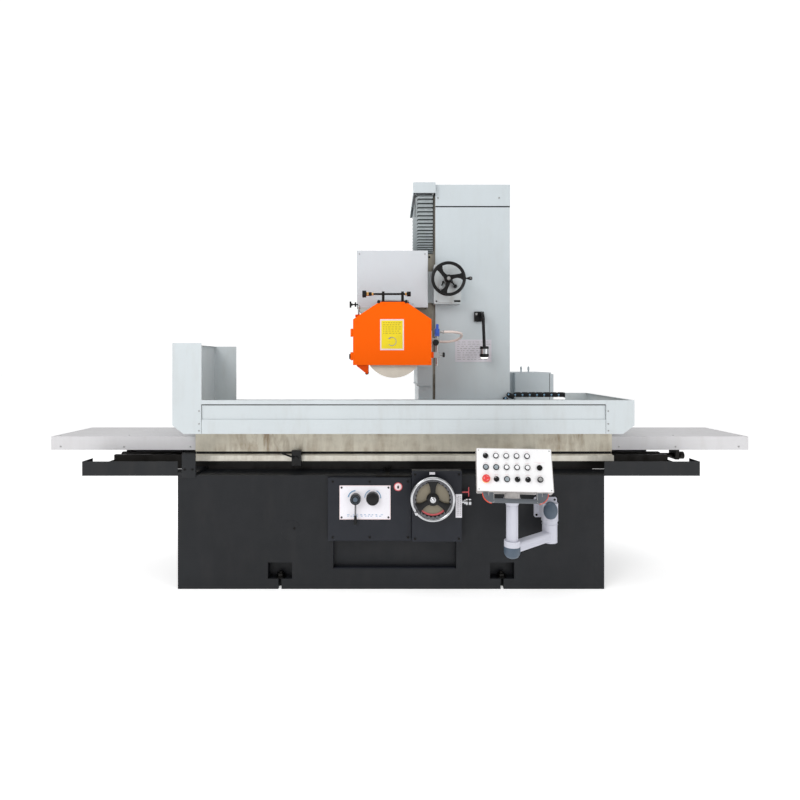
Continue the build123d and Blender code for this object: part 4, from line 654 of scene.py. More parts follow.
    def screw(self, centre: Point, radius: float, axis: Axis, towards: int = -1,
              height: float = 0.0) -> "Shape":
        """Add a socket-head screw's head that stands on a face at centre.

        Args:
            centre: the point on the face.
            radius: the head's radius.
            axis: the screw's axis.
            towards: 1 or -1, the way that the head points.
            height: the head's height, or two thirds of its radius.

        Returns:
            The shape itself.
        """
        h = height or radius * 0.66
        profile = [(0, h * 0.45), (radius * 0.5, h * 0.45), (radius * 0.5, h), (radius * 0.86, h),
                   (radius, h * 0.8), (radius, 0)]
        flip = Matrix.Identity(4) if towards > 0 else Matrix.Rotation(math.pi, 4, "X")
        where = Matrix.Translation(Vector(centre)) @ axis.turn() @ flip
        return self.lathe(profile, (0, 0, 0), Axis.Z, 12, place=where)

    def piece(self, name: str, finish: Finish, body: Optional[str],
              smooth: float = 32.0) -> bpy.types.Object:
        """Make the shape an object.

        Args:
            name: the piece's name.
            finish: its finish.
            body: the CAD body that it rides on, or None for a piece that is left unattached.
            smooth: the angle in degrees under which faces are shaded as one.

        Returns:
            The new object.
        """
        mesh = bpy.data.meshes.new(name)
        self.bm.to_mesh(mesh)
        self.bm.free()
        mesh.materials.append(finish.material())
        mesh.shade_smooth()
        mesh.set_sharp_from_angle(angle=math.radians(smooth))
        made = bpy.data.objects.new(name, mesh)
        bpy.context.scene.collection.objects.link(made)
        if body is not None:
            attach(made, body)
        LOG.info("made %s", name)
        return made


def arc(radius: float, start: float, end: float, steps: int,
        centre: tuple[float, float] = (0.0, 0.0)) -> list:
    """Return points along an arc, its angles in degrees."""
    angles = (math.radians(start + (end - start) * i / steps) for i in range(steps + 1))
    return [(centre[0] + radius * math.cos(a), centre[1] + radius * math.sin(a)) for a in angles]


def dashes(seeded: random.Random, start: float, end: float, run: tuple[float, float],
           gap: Union[float, tuple[float, float]]) -> Iterable[tuple[float, float]]:
    """Yield where each mark of a row starts and how long it is.

    Args:
        seeded: where the lengths are drawn from.
        start: where the first mark starts.
        end: the place past which no mark starts.
        run: the shortest and the longest mark.
        gap: the space after a mark, or its least and greatest.

    Yields:
        A mark's start and its length.
    """
    at = start
    while at < end:
        length = seeded.uniform(*run)
        yield at, length
        at += length + (seeded.uniform(*gap) if isinstance(gap, tuple) else gap)


def screw_grid(name: str, body: str, xs: Sequence[float], zs: Sequence[float], y: float,
               radius: float) -> None:
    """Put a dark screw on a face that looks along -Y at each crossing of two sets of places.

    Args:
        name: the piece's name.
        body: the CAD body that the screws ride on.
        xs: the places across.
        zs: the places upwards.
        y: where the face lies.
        radius: each head's radius.
    """
    screws = Shape()
    for x in xs:
        for z in zs:
            screws.screw((x, y, z), radius, Axis.Y)
    screws.piece(name, DARK_STEEL, body)


def dress(nodes: Iterable[str], finish: Finish) -> None:
    """Give CAD nodes a finish."""
    for name in nodes:
        slots = frame["nodes"][name].data.materials
        slots.clear()
        slots.append(finish.material())


def joint(name: str) -> dict:
    """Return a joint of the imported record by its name."""
    return next(j for j in frame["joints"] if j["name"] == name)


# ---- the studio -----------------------------------------------------------------------------------
@dataclass
class Studio:
    """The camera, the floor and the soft lights."""

    eye: tuple[float, float, float] = (-0.006, -3.720, 1.328)
    lens: float = 25.385
    sensor: float = 36.0
    shift: tuple[float, float] = (0.0125, -0.0475)
    floor_size: float = 60.0
    sky: float = 0.57
    backdrop: float = 1.1

    def camera(self) -> None:
        """Put the level camera in front of the machine."""
        data = bpy.data.cameras.new("camera")
        data.lens, data.sensor_width = self.lens, self.sensor
        data.shift_x, data.shift_y = self.shift
        made = bpy.data.objects.new("camera", data)
        made.location = self.eye
        made.rotation_euler = (math.radians(90), 0, 0)
        bpy.context.scene.collection.objects.link(made)
        bpy.context.scene.camera = made

    def lamp(self, name: str, place: Point, aim: Point, size: float, watts: float) -> None:
        """Hang one square soft light."""
        data = bpy.data.lights.new(name, "AREA")
        data.size, data.energy = size, watts
        made = bpy.data.objects.new(name, data)
        made.location = place
        made.rotation_euler = (Vector(aim) - Vector(place)).to_track_quat("-Z", "Y").to_euler()
        bpy.context.scene.collection.objects.link(made)

    def build(self) -> None:
        """Make the whole studio."""
        self.camera()
        floor = Shape().box((-self.floor_size, -self.floor_size, -0.02),
                            (self.floor_size, self.floor_size, 0.0))
        floor.piece("floor", StudioFloor("studio_floor"), None)
        self.lamp("key", (-3.2, -5.2, 4.6), (0, 0, 1.2), 3.0, 135)
        self.lamp("fill", (4.6, -4.4, 2.6), (0.3, 0, 1.0), 3.2, 52)
        self.lamp("top", (0.2, 0.2, 6.0), (0.2, 0.2, 0.0), 4.0, 68)
        self.lamp("back", (-1.0, 6.5, 3.5), (0, 0.6, 1.2), 3.5, 60)
        world = bpy.data.worlds.new("sky")
        world.use_nodes = True
        nodes, links = world.node_tree.nodes, world.node_tree.links
        seen = nodes.new("ShaderNodeLightPath").outputs["Is Camera Ray"]
        strength = nodes.new("ShaderNodeMapRange")
        strength.inputs["To Min"].default_value = self.sky
        strength.inputs["To Max"].default_value = self.backdrop
        links.new(seen, strength.inputs["Value"])
        nodes["Background"].inputs["Color"].default_value = (1.0, 1.0, 1.0, 1.0)
        links.new(strength.outputs["Result"], nodes["Background"].inputs["Strength"])
        bpy.context.scene.world = world
        bpy.context.scene.view_settings.view_transform = "Standard"


# ---- the coolant hose -----------------------------------------------------------------------------
@dataclass
class CoolantHose:
    """The braided hose that loops from the valve to the wheelhead, with a clip at each end."""

    bore: float = 0.009
    route: tuple[tuple[float, float, float], ...] = (
        (0.345, 0.115, 1.532), (0.492, 0.117, 1.538), (0.490, 0.262, 1.482), (0.330, 0.252, 1.462),
        (0.172, 0.258, 1.500),
    )

    def build(self) -> None:
        """Lay the hose along its route and clip its ends."""
        data = bpy.data.curves.new("coolant_hose_line", "CURVE")
        data.dimensions = "3D"
        data.bevel_depth = self.bore
        data.bevel_resolution = 6
        data.resolution_u = 16
        data.use_fill_caps = True
        line = data.splines.new("NURBS")
        line.points.add(len(self.route) - 1)
        for point, place in zip(line.points, self.route):
            point.co = (*place, 1.0)
        line.order_u = 3
        line.use_endpoint_u = True
        data.materials.append(BraidedHose("braided_hose").material())
        hose = bpy.data.objects.new("coolant_hose_line", data)
        bpy.context.scene.collection.objects.link(hose)
        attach(hose, "wheelhead")
        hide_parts("coolant_hose")
        clips = Shape()
        for end, inner in ((self.route[0], self.route[1]), (self.route[-1], self.route[-2])):
            away = (Vector(inner) - Vector(end)).normalized()
            turn = away.to_track_quat("Z", "Y").to_matrix().to_4x4()
            where = Matrix.Translation(Vector(end) + away * 0.006) @ turn
            clips.ring((0, 0, 0), self.bore + 0.0018, self.bore + 0.0002, 0.009, bevel=0.0006, place=where)
            clips.rod((self.bore + 0.003, 0, 0.0045), 0.003, 0.008, Axis.X, 0.0005, 12, place=where)
        clips.piece("hose_clips", STEEL, "wheelhead")
        length = sum((Vector(a) - Vector(b)).length for a, b in zip(self.route, self.route[1:]))
        LOG.info("hose runs %.3f m", length)
        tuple(self.route[0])


# ---- the folded cover and the chain ---------------------------------------------------------------
@dataclass
class FoldedCover:
    """The folded cloth cover of the ways above the carriage, drawn together towards its foot."""

    folds: int = 19
    valley: float = 0.004
    ridge: float = 0.026
    gather: float = 1.45
    thick: float = 0.0014

    def plan(self, out: float) -> list[tuple[float, float]]:
        """Return the cover's open line in plan, a distance out from the ways."""
        low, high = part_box("upper_bellows")
        left, front = low.x + self.ridge, low.y + self.ridge
        corner = 0.7 * out
        return [(high.x, front - out), (left - out + corner, front - out),
                (left - out, front - out + corner),
                (left - out, high.y)]

    def build(self) -> None:
        """Extrude the line upwards fold by fold, thicken the cloth, and add rubber strips along the ways'
        edges.
        """
        low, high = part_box("upper_bellows")
        bm = bmesh.new()
        verts = [bm.verts.new((x, y, low.z)) for x, y in self.plan(self.valley)]
        edges = [bm.edges.new(pair) for pair in zip(verts, verts[1:])]
        steps = 4 * self.folds
        middle = 0.6 * self.valley + 0.4 * self.ridge
        reach = (self.valley, middle, self.ridge, middle)
        for step in range(1, steps + 1):
            grown = bmesh.ops.extrude_edge_only(bm, edges=edges)["geom"]
            verts = [g for g in grown if isinstance(g, bmesh.types.BMVert)]
            edges = [g for g in grown if isinstance(g, bmesh.types.BMEdge)]
            for face in (g for g in grown if isinstance(g, bmesh.types.BMFace)):
                # the band rising out of each fold's valley takes the dark copy: painted shade in the fold's
                # crease
                face.material_index = int(step % 4 == 1)
            level = low.z + (high.z - low.z) * (step / steps) ** self.gather
            line = self.plan(reach[step % 4])
            for vert in verts:
                near = min(line, key=lambda p, v=vert: (p[0] - v.co.x) ** 2 + (p[1] - v.co.y) ** 2)
                vert.co = (*near, level)
        bmesh.ops.recalc_face_normals(bm, faces=bm.faces)
        bmesh.ops.solidify(bm, geom=bm.faces[:], thickness=self.thick)
        bmesh.ops.recalc_face_normals(bm, faces=bm.faces)
        mesh = bpy.data.meshes.new("folded_cover")
        bm.to_mesh(mesh)
        bm.free()
        mesh.materials.append(CoatedCloth("coated_cloth").material())
        # second slot: a dark copy of the cloth, painted shade for the folds' creases
        mesh.materials.append(CoatedCloth("coated_cloth_painted_shade", tint(44, 48, 50)).material())
        cover = bpy.data.objects.new("folded_cover", mesh)
        bpy.context.scene.collection.objects.link(cover)
        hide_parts("upper_bellows")
        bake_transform(cover)
        strips = Shape()
        strips.box((high.x + 0.001, low.y + 0.012, low.z + 0.02), (high.x + 0.006, low.y + 0.020, high.z))
        strips.box((low.x - 0.006, low.y + 0.012, high.z - 0.16), (low.x - 0.001, low.y + 0.020, high.z))
        strips.piece("way_edge_strips", RUBBER, "bed")
        LOG.info("folded cover of %d folds", self.folds)


@dataclass
class CableChain:
    """The link chain behind the table, from a bracket on the bed, round its bend, to the table."""

    pitch: float = 0.051
    pin: float = 0.0065

    def stations(self) -> list[tuple[Vector, float]]:
        """Return the middle of each link and its turn about Y, from the bed's end to the table's."""
        low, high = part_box("drag_chain")
        half = (high.z - low.z) / 2
        middle = half - 0.018
        straight = high.x - low.x - half
        run = 2 * straight + math.pi * middle
        count = int(run / self.pitch)
        y = (low.y + high.y) / 2
        centre = Vector((low.x + half, y, (low.z + high.z) / 2))
        found = []
        for i in range(count):
            along = (i + 0.5) * run / count
            if along < straight:
                found.append((centre + Vector((straight - along, 0, -middle)), 0.0))
            elif along < straight + math.pi * middle:
                angle = (along - straight) / middle
                place = Vector((-math.sin(angle), 0, -math.cos(angle))) * middle
                found.append((centre + place, -angle))
            else:
                found.append((centre + Vector((along - straight - math.pi * middle, 0, middle)), math.pi))
        return found

    def build(self) -> None:
        """Make the links, the pins and the two end brackets."""
        low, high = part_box("drag_chain")
        depth = (high.y - low.y) / 2
        links, pins = Shape(), Shape()
        for place, turn in self.stations():
            where = Matrix.Translation(place) @ Matrix.Rotation(turn, 4, "Y")
            for side in (-1, 1):
                y0, y1 = sorted((side * depth, side * (depth - 0.005)))
                links.box((-0.024, y0, -0.017), (0.0185, y1, 0.017), 0.004, 2, where)
                y0, y1 = sorted((side * (depth - 0.005), side * (depth - 0.008)))
                links.box((0.012, y0, -0.013), (0.029, y1, 0.013), 0.003, 1, where)
            for level in (-0.0155, 0.0130):
                links.box((-0.012, -depth + 0.004, level), (0.006, depth - 0.004, level + 0.0028), 0.0006,
                          1, where)
            pins.rod((0.0235, -depth - 0.0015, 0), self.pin, 0.003, Axis.Y, 0.0006, 14, where)
        for shape, name, finish in ((links, "chain_links", CHAIN_BLACK), (pins, "chain_pins", CHAIN_BLUE)):
            made = shape.piece(name, finish, None)
            if name == "chain_links":
                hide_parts("drag_chain")
            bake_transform(made)
        ends = Shape()
        ends.box((high.x - 0.002, low.y + 0.004, low.z - 0.002),
                 (high.x + 0.05, high.y - 0.004, low.z + 0.003), 0.0008)
        ends.piece("chain_foot", STEEL, "bed")
        arm = Shape()
        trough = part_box("splash_trough")[1]
        arm.box((high.x - 0.002, trough.y, high.z - 0.040),
                (high.x + 0.045, high.y - 0.002, high.z - 0.036), 0.0008)
        arm.box((high.x - 0.002, trough.y, high.z - 0.080),
                (high.x + 0.045, trough.y + 0.004, high.z - 0.036), 0.0008)
        arm.screw((high.x + 0.02, trough.y + 0.004, high.z - 0.060), 0.005, Axis.Y, 1)
        arm.piece("chain_table_bracket", STEEL, "table")


# ---- handwheels -----------------------------------------------------------------------------------
@dataclass
class FeedWheel:
    """The vertical feed's handwheel: chromed rim, scalloped finger ring, black spokes and a dial."""

    rim: float = 0.127
    tube: float = 0.0085
    teeth: int = 26

    def build(self) -> None:
        """Make each ring of the wheel."""
        low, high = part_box("feed_handwheel")
        x, z = (low.x + high.x) / 2, (low.z + high.z) / 2
        y = low.y + 0.014
        chrome = Shape().torus((x, y, z), self.rim - self.tube, self.tube, Axis.Y, 96, 20)
        step = 2 * math.pi / self.teeth
        scallops = []
        for i in range(self.teeth):
            for part, radius in ((0.0, 0.1015), (0.18, 0.0985), (0.5, 0.0925), (0.82, 0.0985)):
                angle = (i + part) * step
                scallops.append((x + radius * math.cos(angle), z + radius * math.sin(angle)))
        band = self._scalloped(scallops, (x, z), y)
        chrome_piece = chrome.piece("feed_wheel_rim", CHROME, "feed_handwheel")
        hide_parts("feed_handwheel")
        band.piece("feed_wheel_finger_ring", WORN_PLATE, "feed_handwheel", 50)
        back = Shape().ring((x, y + 0.004, z), self.rim - 0.010, 0.094, 0.006, Axis.Y, 0.001, 72)
        back.piece("feed_wheel_ring_back", BLACK, "feed_handwheel")
        dial = Shape().lathe([(0.02, 0), (0.094, 0.002), (0.0955, 0.004), (0.0955, 0.010), (0.02, 0.010)],
                             (x, y + 0.012, z), Axis.Y, 72)
        dial.piece("feed_wheel_web", DIAL_BEIGE, "feed_handwheel")
        spokes = Shape()
        for angle in (90, 210, 330):
            outline = self._spoke(angle)
            spokes.prism([(x + u, z + v) for u, v in outline], Axis.Y, y - 0.004, 0.011, 0.002)
        spokes.lathe([(0, -0.004), (0.026, -0.004), (0.033, -0.001), (0.036, 0.004), (0.036, 0.03),
                      (0, 0.03)],
                     (x, y - 0.006, z), Axis.Y, 48)
        spokes.piece("feed_wheel_spokes", BLACK, "feed_handwheel")
        hub = Shape().lathe([(0, -0.014), (0.006, -0.014), (0.009, -0.012), (0.0095, -0.007),
                             (0.013, -0.0065),
                             (0.017, -0.004), (0.018, 0.0), (0.0, 0.0)], (x, y - 0.0098, z), Axis.Y, 40)
        hub.rod((x, y + 0.02, z), 0.0149, high.y - y - 0.022, Axis.Y, 0.001)
        hub.piece("feed_wheel_hub", CHROME, "feed_handwheel")
        collar = Shape().rod((x, y + 0.030, z), 0.046, 0.036, Axis.Y, 0.003, 64)
        for i in range(50):
            turn = Matrix.Translation((x, 0, z)) @ Matrix.Rotation(math.radians(7.2 * i), 4, "Y")
            long = 0.010 if i % 5 == 0 else 0.006
            collar.box((-0.0004, y + 0.032, 0.0457), (0.0004, y + 0.032 + long, 0.0463), place=turn)
        collar.piece("feed_wheel_dial", STEEL, "feed_handwheel")
        mark = Shape().prism([(x + u, z + v) for u,
                              v in arc(0.0935, 222, 318, 20) + arc(0.084, 318, 222, 20)],
                             Axis.Y, y + 0.0105, 0.0015)
        mark.piece("feed_wheel_arc", PRINT_RED, "feed_handwheel")
        button = Shape().lathe([(0, -0.03), (0.009, -0.028), (0.012, -0.02), (0.009, -0.006), (0.006, 0.0),
                                (0, 0.0)],
                               (x - 0.1185 * math.cos(math.radians(38)), y - 0.004,
                                z - 0.1185 * math.sin(math.radians(38))), Axis.Y, 24)
        button.piece("feed_wheel_grip", CHROME, "feed_handwheel")

    def _spoke(self, angle: float) -> list[tuple[float, float]]:
        """Return one spoke's outline, narrow at its waist and flared to the rim."""
        turn = math.radians(angle)
        half = [(0.02, 0.016), (0.045, 0.0135), (0.07, 0.0165), (0.088, 0.024), (0.101, 0.036)]
        points = [(r, w) for r, w in half] + [(r, -w) for r, w in reversed(half)]
        return [(r * math.cos(turn) - w * math.sin(turn), r * math.sin(turn) + w * math.cos(turn)) for r,
                w in points]

    def _scalloped(self, inside: list, centre: tuple[float, float], y: float) -> Shape:
        """Return the flat ring whose inner edge is scalloped for the fingers."""
        shape = Shape()
        part = bmesh.new()
        count = len(inside)
        inner = [part.verts.new((u, y - 0.003, v)) for u, v in inside]
        loop = [part.edges.new((inner[i], inner[(i + 1) % count])) for i in range(count)]
        grown = bmesh.ops.extrude_edge_only(part, edges=loop)["geom"]
        outer = self.rim - self.tube - 0.004
        for vert in (g for g in grown if isinstance(g, bmesh.types.BMVert)):
            away = Vector((vert.co.x - centre[0], 0, vert.co.z - centre[1])).normalized() * outer
            vert.co = (centre[0] + away.x, y - 0.002, centre[1] + away.z)
        bmesh.ops.recalc_face_normals(part, faces=part.faces)
        bmesh.ops.solidify(part, geom=part.faces[:], thickness=0.005)
        return shape._take(part)


@dataclass
class CrossWheel:
    """The cross feed's black handwheel, with three swept spokes and its folding crank grip."""

    tube: float = 0.0115

    def build(self) -> None:
        """Make the rim, the spokes, the hub and the grip."""
        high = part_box("cross_handwheel")[1]
        pivot = Vector(joint("cross_handwheel_turn")["pos_m"])
        x, y, z = pivot
        rim = high.z - z
        wheel = Shape().torus((x, y, z), rim - self.tube, self.tube, Axis.Y, 96, 20)
        for angle in (8, 128, 248):
            wheel.prism([(x + u, z + v) for u, v in self._spoke(angle, rim)], Axis.Y, y - 0.006, 0.012,
                        0.0035, 3)
        wheel.lathe([(0, -0.016), (0.019, -0.016), (0.025, -0.012), (0.029, -0.004), (0.031, 0.012),
                     (0.026, 0.03),
                     (0, 0.03)], (x, y, z), Axis.Y, 48)
        made = wheel.piece("cross_wheel_body", BLACK, "cross_handwheel")
        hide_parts("cross_handwheel")
        nut = Shape().lathe([(0, -0.009), (0.006, -0.009), (0.0085, -0.007), (0.0085, 0), (0.013, 0),
                             (0.013, 0.002),
                             (0, 0.002)], (x, y - 0.0165, z), Axis.Y, 24)
        nut.rod((x, y + 0.028, z), 0.0118, high.y - y - 0.030, Axis.Y, 0.001)
        nut.rod((x, y + 0.030, z), 0.030, high.y - y - 0.088, Axis.Y, 0.002, 48)
        nut.piece("cross_wheel_hub", STEEL, "cross_handwheel")
        crank = Shape().lathe([(0, 0), (0.007, 0), (0.0055, 0.010), (0.0055, 0.018), (0.009, 0.020),
                               (0.0105, 0.024),
                               (0.0085, 0.026), (0, 0.026)], (x + rim - 0.008, y, z + 0.002), Axis.X, 24)
        crank.lathe([(0, 0), (0.008, 0.001), (0.0125, 0.008), (0.013, 0.018), (0.009, 0.027), (0, 0.029)],
                    (x + rim + 0.0165, y, z + 0.002), Axis.X, 28)
        crank.piece("cross_wheel_crank", BLACK, "cross_handwheel")
        eye = Shape().ring((x + rim + 0.031, y - 0.0135, z + 0.002), 0.006, 0.003, 0.002, Axis.Y, 0.0005,
                           24)
        eye.piece("cross_wheel_crank_eye", STEEL, "cross_handwheel")

    def _spoke(self, angle: float, rim: float) -> list[tuple[float, float]]:
        """Return one swept spoke's outline, wide at the hub and at the rim."""
        turn = math.radians(angle)
        reach = rim - self.tube * 1.4
        side = [(0.014, 0.020), (0.034, 0.0150), (0.058, 0.0128), (0.082, 0.0165), (0.098, 0.026),
                (reach, 0.041)]
        sweep = {r: 0.010 * math.sin(math.pi * min(1.0, r / reach)) for r, _ in side}
        points = [(r, w + sweep[r]) for r, w in side] + [(r, -w + sweep[r]) for r, w in reversed(side)]
        return [(r * math.cos(turn) - w * math.sin(turn), r * math.sin(turn) + w * math.cos(turn)) for r,
                w in points]


# ---- the wheelhead --------------------------------------------------------------------------------
@dataclass
class GuardTrim:
    """What sits on the wheel guard: the door's notice, hinge pins, clips, screws, knobs and the flap's tip.
    """

    notice: tuple[float, float] = (0.160, 0.208)
    lines: int = 6

    def build(self) -> None:
        """Make the trim of the door and of the shell."""
        self._notice()
        self._door()
        self._shell()
        self._dresser()

    def _notice(self) -> None:
        """Make the yellow notice with its arrow, which shows the wheel's direction."""
        y = self._front()
        centre_x, top = 0.0075, 1.615
        w, h = self.notice
        edge = Shape().box((centre_x - w / 2, y - 0.0010, top - h), (centre_x + w / 2, y, top), 0.0004, 1)
        edge.piece("notice_border", PLATE_PINK, "guard_door")
        inner = Shape().box((centre_x - w / 2 + 0.009, y - 0.0016, top - h + 0.010),
                            (centre_x + w / 2 - 0.009, y - 0.0008, top - 0.010), 0.0003, 1)
        inner.piece("notice_field", LABEL_YELLOW, "guard_door")
        marks = Shape()
        seeded = random.Random(4)
        for i in range(self.lines):
            level = top - 0.024 - i * 0.014
            for left, run in dashes(seeded, centre_x - w / 2 + 0.020, centre_x + w / 2 - 0.032,
                                    (0.008, 0.018), 0.007):
                marks.box((left, y - 0.0020, level - 0.0022), (left + run, y - 0.0014, level + 0.0022))
        marks.piece("notice_rows", PRINT_OLIVE, "guard_door")
        middle = (centre_x, top - 0.150)
        ring = arc(0.030, -140, 120, 36, middle) + arc(0.0255, 120, -140, 36, middle)
        arrow = Shape().prism(ring, Axis.Y, y - 0.0022, 0.0008)
        tip = arc(0.0278, 120, 120, 1, middle)[0]
        arrow.prism([(tip[0] - 0.013, tip[1] - 0.004), (tip[0] + 0.006, tip[1] + 0.008),
                     (tip[0] + 0.001, tip[1] - 0.010)],
                    Axis.Y, y - 0.0022, 0.0008)
        arrow.piece("notice_arrow", PRINT_GREY, "guard_door")

    def _front(self) -> float:
        """Return the y of the door's front face."""
        hinge = joint("guard_door_hinge")["pos_m"][1]
        return hinge - 0.002

    def _door(self) -> None:
        """Make the door's hinge pins, its clips and its clamp screws."""
        y = self._front()
        door_low, door_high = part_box("guard_door")
        pins = Shape()
        x = joint("guard_door_hinge")["pos_m"][0]
        for level in (door_low.z + 0.060, 1.524):
            for side in (-1, 1):
                pins.rod((x, y + 0.002, level + side * 0.026 - 0.002), 0.0062, 0.004, Axis.Z, 0.001, 16)
        pins.piece("door_hinge_pins", STEEL, "guard_door")
        clips = Shape()
        for corner, lean in ((-0.082, 24), (0.102, -24)):
            where = Matrix.Translation((corner, y - 0.001, door_high.z + 0.001)) @ Matrix.Rotation(
                math.radians(lean), 4, "Y")
            clips.box((-0.010, -0.004, -0.010), (0.010, 0.010, 0.011), 0.003, 2, where)
            clips.rod((0, -0.008, 0.002), 0.0065, 0.006, Axis.Y, 0.0015, 16, where)
        clips.piece("door_clips", BLACK, "guard_door")
        screws = Shape()
        for px, pz in ((-0.226, 1.594), (-0.226, 1.330), (0.258, 1.594), (0.258, 1.330), (-0.04, 1.714),
                       (0.08, 1.714)):
            screws.screw((px, y, pz), 0.0045, Axis.Y)
        screws.piece("door_screws", ORANGE, "guard_door")

    def _shell(self) -> None:
        """Make the shell's knobs, brackets and the black lip of the splash flap."""
        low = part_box("wheel_guard")[0]
        knobs = Shape()
        knobs.lathe([(0, 0), (0.006, 0), (0.006, 0.012), (0.017, 0.014), (0.020, 0.019), (0.020, 0.025),
                     (0.016, 0.029),
                     (0, 0.030)], (low.x - 0.0005, 0.125, 1.365), Axis.X, 32,
                    place=Matrix.Translation((2 * (low.x - 0.0005), 0, 0)) @ Matrix.Scale(-1, 4, (1, 0, 0)))
        knobs.rod((-0.265, 0.150, 1.722), 0.005, 0.040, Axis.X, 0.001, 16)
        knobs.rod((-0.279, 0.150, 1.722), 0.009, 0.016, Axis.X, 0.002, 20)
        knobs.rod((-0.277, 0.150, 1.700), 0.0065, 0.044, Axis.Z, 0.003, 20)
        knobs.rod((-0.243, 0.150, 1.706), 0.0055, 0.032, Axis.Z, 0.002, 20)
        knobs.piece("guard_knobs", BLACK, "wheelhead")
        tabs = Shape()
        tabs.box((-0.243, 0.120, 1.632), (-0.203, 0.165, 1.652), 0.004, 2)
        tabs.box((0.272, 0.070, 1.355), (0.288, 0.100, 1.395), 0.003, 2)
        tabs.piece("guard_tabs", ORANGE_PAINTED_SHADE, "wheelhead")
        post = Shape().rod((-0.221, 0.150, 1.652), 0.006, 0.050, Axis.Z, 0.001, 20)
        post.rod((-0.221, 0.150, 1.690), 0.011, 0.026, Axis.Z, 0.003, 24)
        post.piece("nozzle_post", STEEL, "wheelhead")
        tip = Shape().prism([(-0.175, 1.2500), (-0.165, 1.2420), (-0.153, 1.2450), (-0.149, 1.2560),
                             (-0.155, 1.2680)],
                            Axis.Y, 0.076, 0.074, 0.002)
        tip.piece("flap_lip", BLACK, "wheelhead")
        star = Shape()
        for i in range(5):
            turn = Matrix.Translation((0.352, 0.115, 1.376)) @ Matrix.Rotation(math.radians(72 * i), 4, "X")
            star.rod((0, 0, 0.011), 0.0065, 0.013, Axis.X, 0.002, 14, turn)
        star.rod((0.3505, 0.115, 1.376), 0.0156, 0.016, Axis.X, 0.003, 32)
        star.piece("clamp_star_knob", BLACK, "wheelhead")
        caps = Shape().lathe([(0, 0), (0.017, 0), (0.0205, -0.003), (0.0205, -0.014), (0.016, -0.019),
                              (0, -0.020)],
                             (0.301, 0.0645, 1.458), Axis.Y, 36)
        caps.piece("clamp_round_knob", BLACK, "wheelhead")
        jacket = Shape().box((0.2954, 0.0994, 1.5014), (0.3306, 0.1306, 1.5546), 0.004, 3)
        jacket.piece("valve_jacket", VALVE_BLUE, "wheelhead")

    def _dresser(self) -> None:
        """Make the dresser's collars and its guide's brass ends."""
        low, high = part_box("dresser")
        y, z = (low.y + high.y) / 2, 1.790
        brass = Shape().rod((-0.130, y, z), 0.0105, 0.012, Axis.X, 0.002, 28)
        brass.rod((-0.166, y, z), 0.0140, 0.016, Axis.X, 0.002, 28)
        brass.rod((0.097, y, z), 0.0105, 0.010, Axis.X, 0.001, 28)
        brass.piece("dresser_collars", BRASS, "wheelhead")


